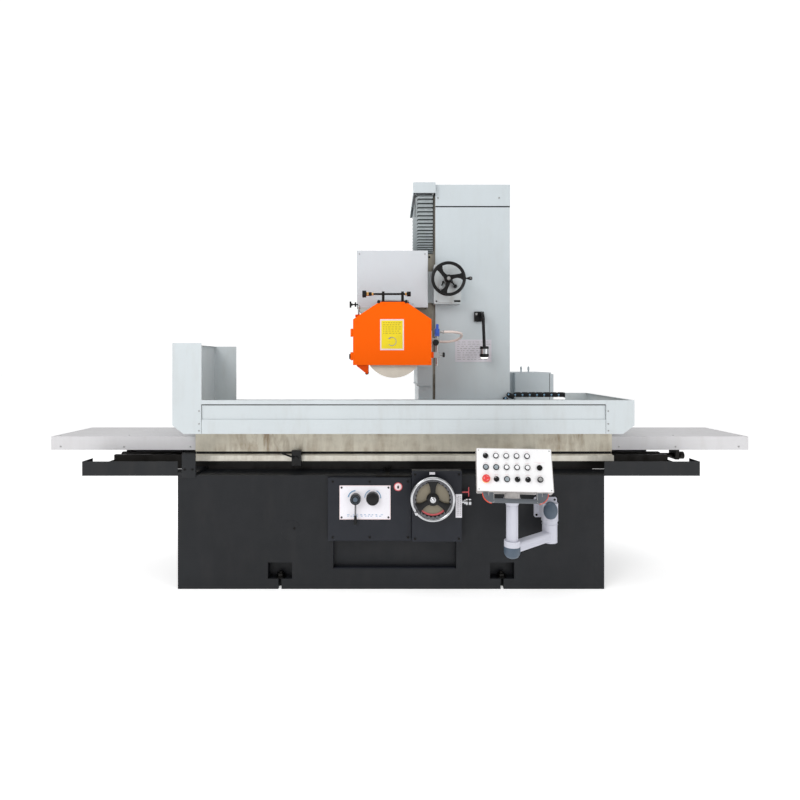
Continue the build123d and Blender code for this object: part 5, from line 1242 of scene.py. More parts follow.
# ---- the pendant ----------------------------------------------------------------------------------
@dataclass
class Pendant:
    """What finishes the pendant: its white face, the devices' caps, rows of marks, bar and domes."""

    pitch: float = 0.054
    cap: float = 0.0105
    bezel: float = 0.0145
    width: float = 0.394
    height: float = 0.230

    def plane(self) -> Matrix:
        """Return the matrix of the panel: X across, Y up its face and Z out of it."""
        first, dial = joint("selector_1_turn"), joint("dial_knob_turn")
        out = Vector(dial["axis"]).normalized()
        across = Vector((0, 0, 1)).cross(out).normalized()
        up = out.cross(across)
        self.first, self.dial = Vector(first["pos_m"]), Vector(dial["pos_m"])
        gap = self.dial - self.first
        self.columns, self.rows = gap.dot(across), gap.dot(up)
        origin = self.first + across * 0.148 - up * 0.073
        turn = Matrix((across, up, out)).transposed().to_4x4()
        return Matrix.Translation(origin) @ turn

    def build(self) -> None:
        """Dress the box, the devices, the bar and the arm."""
        self.place = self.plane()
        self._face()
        self._devices()
        self._bar()
        self._arm()

    def spots(self) -> dict[str, tuple[float, float]]:
        """Return where each device of the panel sits on its face."""
        rows = (0.073, 0.012, -0.050)
        columns = [-0.148 + self.pitch * i for i in range(5)]
        found = {f"lamp_top_{i}": (columns[i], rows[0]) for i in range(1, 5)}
        found.update({f"lamp_mid_{i}": (columns[i], rows[1]) for i in range(2, 5)})
        found.update({"selector_1": (columns[0], rows[0]), "button_1": (columns[0], rows[1]),
                      "button_2": (columns[1], rows[1]), "e_stop": (columns[0], rows[2]),
                      "selector_2": (columns[1], rows[2]), "button_3": (columns[2], rows[2]),
                      "selector_3": (columns[3], rows[2]), "selector_4": (columns[4], rows[2]),
                      "key": (0.130, rows[1]), "dial_knob": (0.130, rows[2])})
        return found

    def _face(self) -> None:
        """Make the white panel, the rows of marks over each device and the yellow tag."""
        w, h = self.width / 2, self.height / 2
        Shape().box((-w + 0.003, -h + 0.003, 0.0), (w - 0.003, h - 0.003, 0.0012), 0.0005, 2,
                    self.place).piece(
            "pendant_face", PANEL_WHITE, "pendant_box")
        marks = Shape()
        seeded = random.Random(9)
        for u, v in self.spots().values():
            wide = seeded.uniform(0.008, 0.014)
            marks.box((u - wide, v + 0.0215, 0.0010), (u + wide, v + 0.0228, 0.0016), place=self.place)
            marks.box((u - wide * 0.6, v + 0.0245, 0.0010), (u + wide * 0.6, v + 0.0256, 0.0016),
                      place=self.place)
        marks.box((0.102, 0.040, 0.0010), (0.158, 0.0412, 0.0016), place=self.place)
        marks.piece("panel_marks", PLATE_PINK, "pendant_box")
        screws = Shape()
        for u in (-w + 0.012, w - 0.012):
            for v in (-h + 0.012, h - 0.012):
                screws.lathe([(0, 0.0012), (0.0028, 0.0010), (0.0034, 0)], (u, v, 0.0012), Axis.Z, 14,
                             place=self.place)
        screws.piece("panel_screws", STEEL, "pendant_box")
        tag = Shape().box((w, -h + 0.010, -0.050), (w + 0.0008, -h + 0.060, -0.014), place=self.place)
        tag.piece("pendant_tag", TAG_YELLOW, "pendant_box")
        gland = Shape().lathe([(0, 0), (0.014, 0), (0.014, -0.008), (0.011, -0.010), (0.011, -0.022),
                               (0.008, -0.028),
                               (0, -0.028)], (0.13, 0.02, -0.096), Axis.Z, 24, place=self.place)
        gland.piece("pendant_gland", BLACK, "pendant_box")

    def _devices(self) -> None:
        """Put a cap, a bezel or a bar on each device, on the body that it moves with."""
        dark, caps = Shape(), Shape()
        for name, (u, v) in self.spots().items():
            if name.startswith("lamp"):
                caps.lathe([(0, 0.0125), (0.006, 0.0118), (self.cap - 0.001, 0.010), (self.cap, 0.008),
                            (self.cap, 0.004), (0, 0.004)], (u, v, 0.004), Axis.Z, 28, place=self.place)
            if name.startswith("lamp") or name == "key":
                dark.ring((u, v, 0.0012), self.bezel, self.cap + 0.0005, 0.0090, bevel=0.0012,
                          place=self.place)
            if name.startswith("button"):
                dark.ring((u, v, 0.0012), self.bezel + 0.0012, self.cap + 0.0011, 0.0070, bevel=0.0015,
                          place=self.place)
        dark.piece("device_bezels", BLACK, "pendant_box")
        caps.piece("lamp_caps", LAMP_WHITE, "pendant_box")
        spots = self.spots()
        u, v = spots["key"]
        key = Shape().rod((u, v, 0.006), 0.0095, 0.006, bevel=0.001, place=self.place)
        key.box((u - 0.0012, v - 0.007, 0.011), (u + 0.0012, v + 0.007, 0.0128), 0.0003, 1, self.place)
        key.piece("key_barrel", DARK_STEEL, "pendant_box")
        u, v = spots["e_stop"]
        base = Shape().lathe([(0.0115, 0.0012), (0.021, 0.0012), (0.0205, 0.004), (0.0165, 0.0078),
                              (0.0115, 0.0078)],
                             (u, v, 0), Axis.Z, 40, closed=True, place=self.place)
        base.piece("stop_base", STOP_YELLOW, "pendant_box")
        head = Shape().lathe([(0, 0.0285), (0.009, 0.0280), (0.0150, 0.0262), (0.0186, 0.0230),
                              (0.0200, 0.0190),
                              (0.0198, 0.0160), (0.0180, 0.0140), (0, 0.0140)], (u, v, 0), Axis.Z, 48,
                             place=self.place)
        stop = head.piece("stop_head", STOP_RED, "e_stop")
        arrows = Shape()
        for i in range(3):
            turn = self.place @ Matrix.Translation((u, v, 0)) @ Matrix.Rotation(math.radians(120 * i + 20),
                    4, "Z")
            points = arc(0.0125, 10, 70, 8) + arc(0.0112, 70, 10, 8)
            arrows.prism(points, Axis.Z, 0.0258, 0.0018, place=turn)
        arrows.piece("stop_arrows", PLATE_PINK, "e_stop")
        for i in range(1, 5):
            self._selector(f"selector_{i}", spots[f"selector_{i}"], 45 if i != 3 else -45)
        for i in range(1, 4):
            u, v = spots[f"button_{i}"]
            cap = Shape().lathe([(0, 0.0106), (0.007, 0.0106), (0.0088, 0.0114), (0.0100, 0.0114),
                                 (0.01085, 0.0106),
                                 (0.01085, 0.0080), (0, 0.0080)], (u, v, 0.0008), Axis.Z, 32,
                                 place=self.place)
            cap.piece(f"button_{i}_cap", BUTTON_GREY, f"button_{i}")
        u, v = spots["dial_knob"]
        dial = Shape().rod((u, v, 0.0155), 0.0105, 0.0030, bevel=0.0008, place=self.place)
        dial.piece("dial_cap", STEEL, "dial_knob")
        line = Shape().box((u - 0.0006, v + 0.003, 0.0184), (u + 0.0006, v + 0.0100, 0.0189),
                           place=self.place)
        line.piece("dial_line", LAMP_WHITE, "dial_knob")

    def _selector(self, body: str, spot: tuple[float, float], lean: float) -> None:
        """Make a selector's collar, finger bar and white pointer."""
        u, v = spot
        turn = self.place @ Matrix.Translation((u, v, 0)) @ Matrix.Rotation(math.radians(lean), 4, "Z")
        knob = Shape().lathe([(0, 0.0112), (0.0085, 0.0112), (0.0118, 0.0098), (0.0142, 0.0060),
                              (0.0145, 0.0012),
                              (0.0, 0.0012)], (0, 0, 0), Axis.Z, 36, place=turn)
        knob.box((-0.0044, -0.0135, 0.0080), (0.0044, 0.0135, 0.0215), 0.0016, 3, turn)
        knob.piece(f"{body}_bar", BLACK, body)
        pointer = Shape().box((-0.0009, 0.0035, 0.0213), (0.0009, 0.0128, 0.0219), 0.0002, 1, turn)
        pointer.piece(f"{body}_pointer", LAMP_WHITE, body)

    def _bar(self) -> None:
        """Make the curved grip brackets with their red edges."""
        brackets, edges = Shape(), Shape()
        h = self.height / 2
        for side in (-1, 1):
            outer = arc(0.052, 180, 270, 10, (0.0, 0.0))
            inner = arc(0.026, 270, 180, 8, (0.0, 0.0))
            flip = self.place @ Matrix.Translation((side * 0.1145, -h - 0.0045, -0.0225)) @ Matrix.Scale(
                -side, 4,
                (1, 0, 0)) if side > 0 else self.place @ Matrix.Translation((-0.1145, -h - 0.0045, -0.0225))
            brackets.prism(outer + inner, Axis.Z, 0.0, 0.023, 0.003, 3, flip)
            rim_out = arc(0.0555, 182, 262, 12)
            rim_in = arc(0.0515, 262, 182, 12)
            edges.prism(rim_out + rim_in, Axis.Z, 0.003, 0.017, 0.001, 2, flip)
            brackets.box((side * 0.123 - 0.0148, -h - 0.0558, -0.0228),
                         (side * 0.123 + 0.0148, -h - 0.0002, 0.0008),
                         0.005, 3, self.place)
        brackets.rod((-0.113, -h - 0.044, -0.011), 0.0120, 0.226, Axis.X, 0.001, 32, self.place)
        brackets.piece("grip_brackets", GRIP_GREY, "pendant_box")
        edges.piece("grip_accents", ACCENT_RED, "pendant_box")

    def _arm(self) -> None:
        """Make the domes, the wall flange's screws and the ribs of the arm and the post."""
        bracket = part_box("pendant_bracket")
        axis = Vector(joint("pendant_arm_swing")["pos_m"])
        post = Vector(joint("pendant_box_swivel")["pos_m"])
        dome = Shape().ball((axis.x - 0.004, axis.y - 0.030, 0.492), 0.040, (0.98, 0.80, 1.30))
        dome.piece("wall_dome", SLATE, "bed")
        low_dome = Shape().lathe([(0, 0), (0.019, 0.0015), (0.032, 0.008), (0.0402, 0.021), (0.0432, 0.034),
                                  (0.0432, 0.061), (0.0424, 0.0625), (0.0424, 0.0635), (0, 0.0635)],
                                 (post.x, post.y, 0.290), Axis.Z, 48)
        low_dome.piece("elbow_dome", SLATE, "pendant_arm")
        screws = Shape()
        for dx in (-0.053, 0.053):
            for z in (bracket[0].z + 0.014, bracket[1].z - 0.014):
                screws.screw((axis.x + dx, bracket[1].y - 0.014, z), 0.0065, Axis.Y)
        screws.piece("flange_screws", DARK_STEEL, "bed")
        collars = Shape()
        for z0, z1, r in ((0.4395, 0.4300, 0.0470), (0.4140, 0.4090, 0.0445)):
            collars.ring((axis.x, axis.y, z1), r, r - 0.004, z0 - z1, Axis.Z, 0.001, 48)
        collars.piece("swivel_collars", ARM_LILAC, "pendant_arm")
        ribs = Shape()
        along = Vector((post.x - axis.x, post.y - axis.y, 0))
        angle = math.atan2(along.y, along.x)
        middle = Matrix.Translation(((post.x + axis.x) / 2, (post.y + axis.y) / 2,
                                     0.345)) @ Matrix.Rotation(
            angle, 4, "Z")
        reach = along.length / 2 - 0.036
        for side in (-1, 1):
            for level in (-0.012, 0.0, 0.012):
                y0, y1 = sorted((side * 0.0282, side * 0.0300))
                ribs.box((-reach, y0, level - 0.0022), (reach, y1, level + 0.0022), 0.0006, 1, middle)
        for i in range(4):
            turn = Matrix.Translation((post.x, post.y, 0)) @ Matrix.Rotation(math.radians(45 + 90 * i), 4,
                    "Z")
            ribs.box((0.0300, -0.0075, 0.3860), (0.0325, 0.0075, 0.5700), 0.0010, 2, turn)
        ribs.piece("arm_ribs", ARM_LILAC, "pendant_arm")


# ---- the bed's front ------------------------------------------------------------------------------
@dataclass
class FrontControls:
    """The marks, screws and plates on the valve cover and on the feed's gear case."""

    plate_screw: float = 0.0055
    cover_screw: float = 0.0065

    def build(self) -> None:
        """Dress the two covers."""
        self._plate()
        self._case()
        self._levers()

    def _plate(self) -> None:
        """Make the plate's arcs, its pink rim, its screws and the round sign."""
        low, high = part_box("control_plate")
        y = low.y
        rim = Shape()
        t = 0.0035
        rim.box((low.x, y - 0.0006, low.z), (low.x + t, y, high.z))
        rim.box((high.x - t, y - 0.0006, low.z), (high.x, y, high.z))
        rim.box((low.x + t, y - 0.0006, low.z), (high.x - t, y, low.z + t))
        rim.box((low.x + t, y - 0.0006, high.z - t), (high.x - t, y, high.z))
        rim.piece("control_plate_rim", PLATE_PINK, "bed")
        marks = Shape()
        lever, knob = joint("throttle_lever_turn")["pos_m"], joint("speed_knob_turn")["pos_m"]
        marks.prism(arc(0.046, 92, 172, 18, (lever[0], lever[2])) + arc(0.0405, 172, 92, 18,
                (lever[0], lever[2])),
                    Axis.Y, y - 0.0008, 0.0009)
        for start, end in ((112, 178), (62, -2)):
            centre = (knob[0], knob[2])
            marks.prism(arc(0.0485, start, end, 16, centre) + arc(0.0445, end, start, 16, centre), Axis.Y,
                        y - 0.0008,
                        0.0009)
        marks.piece("plate_arcs", PRINT_BLUE, "bed")
        rows = Shape()
        seeded = random.Random(2)
        for row in range(2):
            z = low.z + 0.026 - row * 0.008
            for left, run in dashes(seeded, low.x + 0.045, high.x - 0.05, (0.006, 0.014), (0.006, 0.020)):
                rows.box((left, y - 0.0006, z), (left + run, y + 0.0002, z + 0.0026))
        rows.piece("plate_rows", PRINT_BLUE, "bed")
        screw_grid("plate_screws", "bed", (low.x + 0.012, high.x - 0.012), (low.z + 0.012, high.z - 0.012),
                   y,
                   self.plate_screw)
        cover_low, cover_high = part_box("front_cover")
        across = (cover_low.x + 0.030, (cover_low.x + cover_high.x) / 2, cover_high.x - 0.022)
        screw_grid("valve_cover_screws", "bed", across, (cover_low.z + 0.022, cover_high.z - 0.022),
                   cover_low.y,
                   self.cover_screw)
        sx, sz = cover_high.x - 0.079, cover_high.z - 0.052
        sign = Shape().rod((sx, cover_low.y - 0.0012, sz), 0.0215, 0.0014, Axis.Y, 0.0003, 40)
        sign.piece("round_sign", PLATE_PINK, "bed")
        ring = Shape().ring((sx, cover_low.y - 0.0018, sz), 0.0248, 0.0198, 0.0018, Axis.Y, 0.0003, 48)
        ring.piece("round_sign_ring", PRINT_RED, "bed")
        drop = Shape().prism([(sx + u * 0.55, sz - 0.002 + v) for u, v in arc(0.0095, -90, 70, 10)
                              + arc(0.0095, 110, 270, 10)], Axis.Y, cover_low.y - 0.0016, 0.0008)
        drop.piece("round_sign_mark", DARK_STEEL, "bed")

    def _case(self) -> None:
        """Make the gear case's screws, its graduated strip and the small index plate."""
        low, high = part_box("feed_gearbox")
        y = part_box("bed_base")[0].y - 0.060
        screw_grid("gear_case_screws", "bed", (low.x + 0.018, high.x - 0.018),
                   (low.z + 0.018, high.z - 0.020), y,
                   self.cover_screw)
        strip = Shape().box((high.x - 0.037, y - 0.0016, 0.434), (high.x - 0.001, y, 0.569), 0.0005, 1)
        strip.piece("gear_case_strip", PLATE_WHITE, "bed")
        rows = Shape()
        seeded = random.Random(7)
        for column in range(3):
            x = high.x - 0.030 + column * 0.0095
            for z, run in dashes(seeded, 0.446, 0.556, (0.004, 0.011), 0.004):
                rows.box((x, y - 0.0022, z), (x + 0.0032, y - 0.0014, z + run))
        rows.piece("gear_case_strip_rows", PRINT_GREY, "bed")
        x = joint("feed_handwheel_turn")["pos_m"][0]
        index = Shape().box((x - 0.016, y - 0.0214, high.z - 0.017),
                            (x + 0.016, y - 0.0198, high.z - 0.003), 0.0004, 1)
        index.piece("index_plate", PLATE_WHITE, "bed")

    def _levers(self) -> None:
        """Make the throttle's chromed stem and cap, the speed knob's cap and the clutch's thin lever."""
        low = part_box("throttle_lever")[0]
        place = joint("throttle_lever_turn")["pos_m"]
        y = low.y
        stem = Shape().rod((place[0], y + 0.0125, low.z + 0.046), 0.0052, 0.085, Axis.Z, 0.001, 20)
        stem.piece("throttle_stem", STEM_STEEL, "throttle_lever")
        hub = Shape().lathe([(0, -0.003), (0.012, -0.0025), (0.014, 0), (0, 0)], (place[0], y, place[2]),
                            Axis.Y, 36)
        hub.ring((place[0], y - 0.0004, place[2]), 0.0235, 0.0215, 0.0012, Axis.Y, 0.0003, 48)
        hub.piece("throttle_cap", SLATE, "throttle_lever")
        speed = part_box("speed_knob")
        middle = joint("speed_knob_turn")["pos_m"]
        cap = Shape().lathe([(0, -0.0022), (0.020, -0.002), (0.026, 0), (0, 0)],
                            (middle[0], speed[0].y, middle[2]),
                            Axis.Y, 40)
        cap.box((middle[0] - 0.0011, speed[0].y - 0.0026, middle[2] + 0.012),
                (middle[0] + 0.0011, speed[0].y - 0.0016, middle[2] + 0.030))
        cap.piece("speed_knob_cap", BLACK, "speed_knob")
        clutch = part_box("clutch_knob")
        centre_y, centre_z = (clutch[0].y + clutch[1].y) / 2, (clutch[0].z + clutch[1].z) / 2
        band = Shape().ring((clutch[1].x - 0.020, centre_y, centre_z), 0.0226, 0.0212, 0.006, Axis.X,
                            0.0004, 40)
        band.piece("clutch_band", DARK_STEEL, "clutch_knob")
        wire = Shape().rod((clutch[1].x - 0.012, centre_y, centre_z + 0.030), 0.0028, 0.055, Axis.Z, 0.001,
                           14)
        wire.rod((clutch[1].x - 0.060, centre_y, centre_z + 0.056), 0.004, 0.05, Axis.X, 0.001, 14)
        wire.piece("clutch_catch", PRINT_RED, "bed")


@dataclass
class BedTrim:
    """Small things on the bed: the window's lip, a blanking boss, the anchor nuts and the wiper's edge."""

    boss: tuple[float, float, float] = (-0.585, 0.345, 0.060)

    def build(self) -> None:
        """Make the trim."""
        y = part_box("bed_base")[0].y
        window_left, window_right = -0.338, 0.382
        lip = Shape().box((window_left + 0.004, y + 0.001, 0.118),
                          (window_right - 0.004, y + 0.040, 0.1235), 0.0015)
        lip.piece("window_lip", PANEL_BLACK, "bed")
        x, z, r = self.boss
        boss = Shape().lathe([(0, -0.0015), (r - 0.006, -0.0015), (r - 0.001, -0.0005), (r, 0.001),
                              (0, 0.001)],
                             (x, y, z), Axis.Y, 64)
        boss.piece("blanking_boss", BED_BLACK, "bed")
        plug = Shape().screw((x + 0.02, y - 0.0015, z + 0.01), 0.006, Axis.Y)
        plug.piece("boss_plug", DARK_STEEL, "bed")
        nuts = Shape()
        for bolt_x, bolt_y in ((-0.65, y + 0.034), (0.65, y + 0.034)):
            nuts.lathe([(0.0, 0.0), (0.030, 0.0), (0.032, 0.002), (0.032, 0.005), (0, 0.005)],
                       (bolt_x, bolt_y, 0.0602),
                       Axis.Z, 32)
            nuts.lathe([(0, 0), (0.023, 0), (0.023, 0.016), (0.020, 0.019), (0, 0.019)],
                       (bolt_x, bolt_y, 0.0652),
                       Axis.Z, 6)
            nuts.rod((bolt_x, bolt_y, 0.0842), 0.0125, 0.010, Axis.Z, 0.002, 20)
        nuts.piece("anchor_nuts", DARK_STEEL, "bed")
        strip = Shape().box((-1.221, y - 0.008, 0.7905), (-1.143, y - 0.0055, 0.797), 0.0006, 1)
        strip.piece("wiper_edge", RUBBER, "bed")
        holes = Shape()
        for x in (-1.204, -1.160):
            holes.screw((x, y - 0.006, 0.700), 0.006, Axis.Y)
        holes.piece("wiper_screws", DARK_STEEL, "bed")


# ---- the table ------------------------------------------------------------------------------------
@dataclass
class TableTrim:
    """The chuck's face, dark strips in the table's groove and under the trough's rolled lip as painted
    shadow, the trough's bolts, and the screws of the way covers.
    """

    def build(self) -> None:
        """Make the trim that rides on the table."""
        low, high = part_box("magnetic_chuck")
        face = Shape().box((low.x + 0.036, low.y + 0.006, high.z - 0.0003),
                           (high.x - 0.036, high.y - 0.006, high.z + 0.0003),
                           0.0005, 1)
        face.piece("chuck_face", MagneticFace("chuck_poles"), "table")
        stop = Shape().box((low.x + 0.034, high.y - 0.004, high.z - 0.030),
                           (high.x - 0.034, high.y + 0.006, high.z + 0.006),
                           0.0012)
        stop.piece("chuck_back_stop", STEEL, "table")
        clamps = Shape()
        for x in (low.x + 0.015, high.x - 0.015):
            for y in (-0.14, 0.0, 0.14):
                clamps.screw((x, y, low.z + 0.028), 0.011, Axis.Z, 1, 0.012)
        clamps.piece("chuck_clamp_screws", DARK_STEEL, "table")
        table_low, table_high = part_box("table")
        # a black strip in the table's front groove: painted shadow where the groove is shaded
        strip = Shape().box((table_low.x + 0.002, -0.2415, low.z - 0.1775),
                            (table_high.x - 0.002, -0.2402, low.z - 0.1625), 0.0004, 1)
        strip.piece("table_groove_painted_shadow", RUBBER, "table")
        self._trough()
        self._wings()

    def _trough(self) -> None:
        """Make the trough's bolts, its dark joint seams, a dark strip under its rolled lip as painted
        shadow, and its drain.
        """
        low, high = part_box("splash_trough")
        y = low.y + 0.004
        bolts = Shape()
        left_joint, right_joint = low.x + 0.171, high.x - 0.168
        for x in (left_joint - 0.014, right_joint + 0.014):
            for z in (0.925, 0.965, 1.040):
                bolts.screw((x, y, z), 0.0045, Axis.Y)
        bolts.piece("trough_bolts", STEEL, "table")
        seams = Shape()
        for x in (left_joint, right_joint):
            seams.box((x - 0.0007, y - 0.0006, 0.908), (x + 0.0007, y, 1.078))
        # a dark strip on the wall just under the rolled lip: painted shadow of the lip
        seams.box((left_joint + 0.001, y + 0.0052, 1.0735), (right_joint - 0.001, y + 0.0060, 1.0798))
        seams.piece("trough_seams_and_lip_shadow", DARK_STEEL, "table")
        drain = Shape().lathe([(0.018, 0), (0.030, 0), (0.030, 0.004), (0.018, 0.004)],
                              (0.9, high.y - 0.06, 0.909),
                              Axis.Z, 32, closed=True)
        drain.piece("trough_drain", STEEL, "table")

    def _wings(self) -> None:
        """Make the way covers' screws."""
        low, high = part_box("way_covers")
        screws = Shape()
        for x in (low.x + 0.46, low.x + 0.03, high.x - 0.44, high.x - 0.03):
            screws.lathe([(0, 0.0026), (0.004, 0.0022), (0.0062, 0)], (x, low.y + 0.05, high.z), Axis.Z, 20)
        for x in (low.x + 0.06, low.x + 0.45, low.x + 0.86, high.x - 0.06, high.x - 0.45, high.x - 0.80):
            screws.screw((x, low.y, low.z + 0.020), 0.005, Axis.Y)
        screws.piece("wing_screws", STEEL, "table")


# ---- the column, the carriage and the cabinet -----------------------------------------------------
@dataclass
class ColumnTrim:
    """The cap's gasket, the instruction plate, the back door with its louvres, and the lifting plugs."""

    seam: float = 2.481
    louvres: int = 9

    def build(self) -> None:
        """Make the column's trim."""
        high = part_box("column_covers")[1]
        left, front, back = 0.329, 0.450, 1.163
        gasket = Shape().box((left + 0.001, front - 0.0012, self.seam - 0.009),
                             (high.x - 0.002, front, self.seam - 0.001))
        gasket.box((high.x - 0.002, front + 0.002, self.seam - 0.009),
                   (high.x - 0.0008, back - 0.002, self.seam - 0.001))
        gasket.piece("cap_gasket", RUBBER, "bed")
        plate = Shape().box((0.475, front - 0.0016, 1.328), (0.744, front, 1.494), 0.0006, 1)
        plate.piece("instruction_plate", PLATE_LILAC, "bed")
        rows = Shape()
        seeded = random.Random(5)
        for row in range(9):
            z = 1.476 - row * 0.016
            for left_edge, run in dashes(seeded, 0.491, 0.710, (0.008, 0.030), (0.006, 0.016)):
                rows.box((left_edge, front - 0.0021, z - 0.0016),
                         (left_edge + run, front - 0.0014, z + 0.0016))
        rows.piece("instruction_rows", PRINT_GREY, "bed")
        screws = Shape()
        for x in (0.349, 0.8):
            screws.screw((x, front - 0.002, 2.54), 0.006, Axis.Y)
        for z in (2.30, 1.75, 1.20):
            screws.screw((high.x - 0.0022, 0.50, z), 0.006, Axis.X, 1)
            screws.screw((high.x - 0.0022, 1.10, z), 0.006, Axis.X, 1)
        screws.piece("column_screws", STEEL, "bed")
        self._door(back)
        plugs = Shape()
        for x in (0.50, 0.74):
            for y in (0.60, 1.00):
                plugs.screw((x, y, 2.639), 0.014, Axis.Z, 1, 0.004)
        plugs.piece("lifting_plugs", DARK_STEEL, "bed")

    def _door(self, back: float) -> None:
        """Make the door on the column's back, with its louvres, latch and hinges."""
        door = Shape().box((0.42, back, 1.05), (0.815, back + 0.012, 2.35), 0.004, 3)
        door.piece("column_back_door", SHEET_GREY, "bed")
        slats = Shape()
        for i in range(self.louvres):
            z = 1.20 + 0.026 * i
            slats.prism([(back + 0.0115, z), (back + 0.021, z + 0.003), (back + 0.0115, z + 0.016)], Axis.X,
                        0.50, 0.235)
        for i in range(self.louvres):
            z = 2.02 + 0.026 * i
            slats.prism([(back + 0.0115, z), (back + 0.021, z + 0.003), (back + 0.0115, z + 0.016)], Axis.X,
                        0.50, 0.235)
        slats.piece("column_louvres", SHEET_GREY, "bed")
        metal = Shape()
        for z in (1.15, 1.70, 2.25):
            metal.rod((0.8225, back + 0.006, z - 0.03), 0.006, 0.06, Axis.Z, 0.001, 20)
        metal.lathe([(0, 0.024), (0.008, 0.024), (0.012, 0.018), (0.012, 0.0115), (0, 0.0115)],
                    (0.45, back, 1.70),
                    Axis.Y, 28)
        metal.piece("column_door_fittings", CHROME, "bed")


@dataclass
class CarriageTrim:
    """The hood's screws, the cross gear case's plate and shift levers, and the gib's screws."""

    def build(self) -> None:
        """Make the trim that rides on the carriage."""
        low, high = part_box("carriage_cover")
        screws = Shape()
        for x in (0.122, 0.158):
            screws.screw((x, low.y, 1.742), 0.004, Axis.Y)
        for x in (low.x + 0.020, high.x - 0.022):
            screws.screw((x, low.y, high.z - 0.025), 0.0045, Axis.Y)
        for y in (0.42, 0.75, 1.08):
            screws.screw((low.x, y, high.z - 0.03), 0.006, Axis.X)
            screws.screw((low.x, y, low.z + 0.03), 0.006, Axis.X)
        screws.piece("hood_screws", STEEL, "carriage")
        box_low, box_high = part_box("crossfeed_gearbox")
        face = 0.340
        plate = Shape().box((box_high.x - 0.052, face - 0.0014, box_low.z + 0.012),
                            (box_high.x - 0.006, face, box_low.z + 0.026), 0.0004, 1)
        plate.piece("cross_case_plate", DARK_STEEL, "carriage")
        mark = Shape().box((0.345, face - 0.0012, box_low.z + 0.006), (0.440, face, box_low.z + 0.009))
        mark.piece("cross_case_mark", PRINT_GREY, "carriage")
        screw_grid("cross_case_screws", "carriage", (0.328, box_high.x - 0.018),
                   (box_low.z + 0.018, box_high.z - 0.018), face, 0.006)
        levers = Shape()
        for x, z, lean in ((0.356, 1.862, 28), (0.462, 1.870, -40)):
            turn = Matrix.Translation((x, face, z)) @ Matrix.Rotation(math.radians(lean), 4, "Y")
            levers.rod((0, -0.026, 0), 0.013, 0.026, Axis.Y, 0.003, 24, turn)
            levers.box((-0.005, -0.030, -0.004), (0.005, -0.018, 0.040), 0.002, 2, turn)
            levers.ball((0, -0.024, 0.042), 0.010, place=turn)
        levers.piece("shift_levers", BLACK, "carriage")
        gibs = Shape()
        for z in (1.59, 1.78, 1.97, 2.10):
            gibs.screw((0.283, 0.4316, z), 0.008, Axis.Y)
        gibs.piece("gib_screws", DARK_STEEL, "carriage")


@dataclass
class MotorTrim:
    """The motor's fan cowl with its grille, and its terminal box with a cable gland."""

    def build(self) -> None:
        """Make the trim that rides on the wheelhead."""
        low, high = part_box("spindle_motor")
        x, z = (low.x + high.x) / 2, (low.z + high.z) / 2
        cowl = Shape().lathe([(0.132, -0.070), (0.142, -0.070), (0.142, -0.006), (0.134, 0.002),
                              (0.060, 0.004),
                              (0.060, 0.001), (0.130, -0.001), (0.132, -0.006)], (x, high.y, z), Axis.Y, 64,
                              closed=True)
        for i in range(12):
            turn = Matrix.Translation((x, 0, z)) @ Matrix.Rotation(math.radians(30 * i), 4, "Y")
            cowl.box((-0.002, high.y + 0.0005, 0.018), (0.002, high.y + 0.0035, 0.064), place=turn)
        for radius in (0.020, 0.034, 0.048):
            cowl.ring((x, high.y + 0.0005, z), radius + 0.002, radius - 0.002, 0.003, Axis.Y, 0.0003, 40)
        cowl.piece("fan_cowl", CASTING_GREY, "wheelhead")
        box = Shape().box((x - 0.185, high.y - 0.250, z - 0.05), (x - 0.122, high.y - 0.130, z + 0.05),
                          0.006, 3)
        box.piece("terminal_box", CASTING_GREY, "wheelhead")
        gland = Shape().rod((x - 0.155, high.y - 0.190, z - 0.068), 0.013, 0.018, Axis.Z, 0.002, 24)
        gland.piece("terminal_gland", BLACK, "wheelhead")
        nose = Shape().ring((0.020, 0.166, 1.421), 0.088, 0.056, 0.012, Axis.Y, 0.002, 64)
        nose.piece("spindle_nose_cover", STEEL, "wheelhead")


@dataclass
class LampTrim:
    """The work lamp's head and its lit glass, the rings of its goose-neck and the switch on its base."""

    def build(self) -> None:
        """Make the lamp's trim."""
        x, y = 0.673, 0.343
        head = Shape().ring((x, y, 1.370), 0.0335, 0.0315, 0.016, Axis.Z, 0.0008, 48)
        head.ring((x, y, 1.424), 0.0325, 0.0305, 0.010, Axis.Z, 0.0008, 48)
        head.piece("lamp_head_rings", BLACK, "lamp_arm")
        glass = Shape().lathe([(0, -0.0045), (0.018, -0.0035), (0.0255, 0.0), (0.0265, 0.004), (0, 0.004)],
                              (x, y, 1.3570), Axis.Z, 40)
        glass.piece("lamp_glass", Lens("lamp_glass"), "lamp_arm")
        bright = Shape().ring((x, y, 1.386), 0.0322, 0.0308, 0.036, Axis.Z, 0.0006, 48)
        bright.piece("lamp_band", CHROME, "lamp_arm")
        base_low, base_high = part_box("lamp_base")
        switch = Shape().box((base_low.x + 0.008, base_low.y - 0.004, base_high.z - 0.026),
                             (base_low.x + 0.022, base_low.y, base_high.z - 0.010), 0.001)
        switch.piece("lamp_switch", STEEL, "bed")


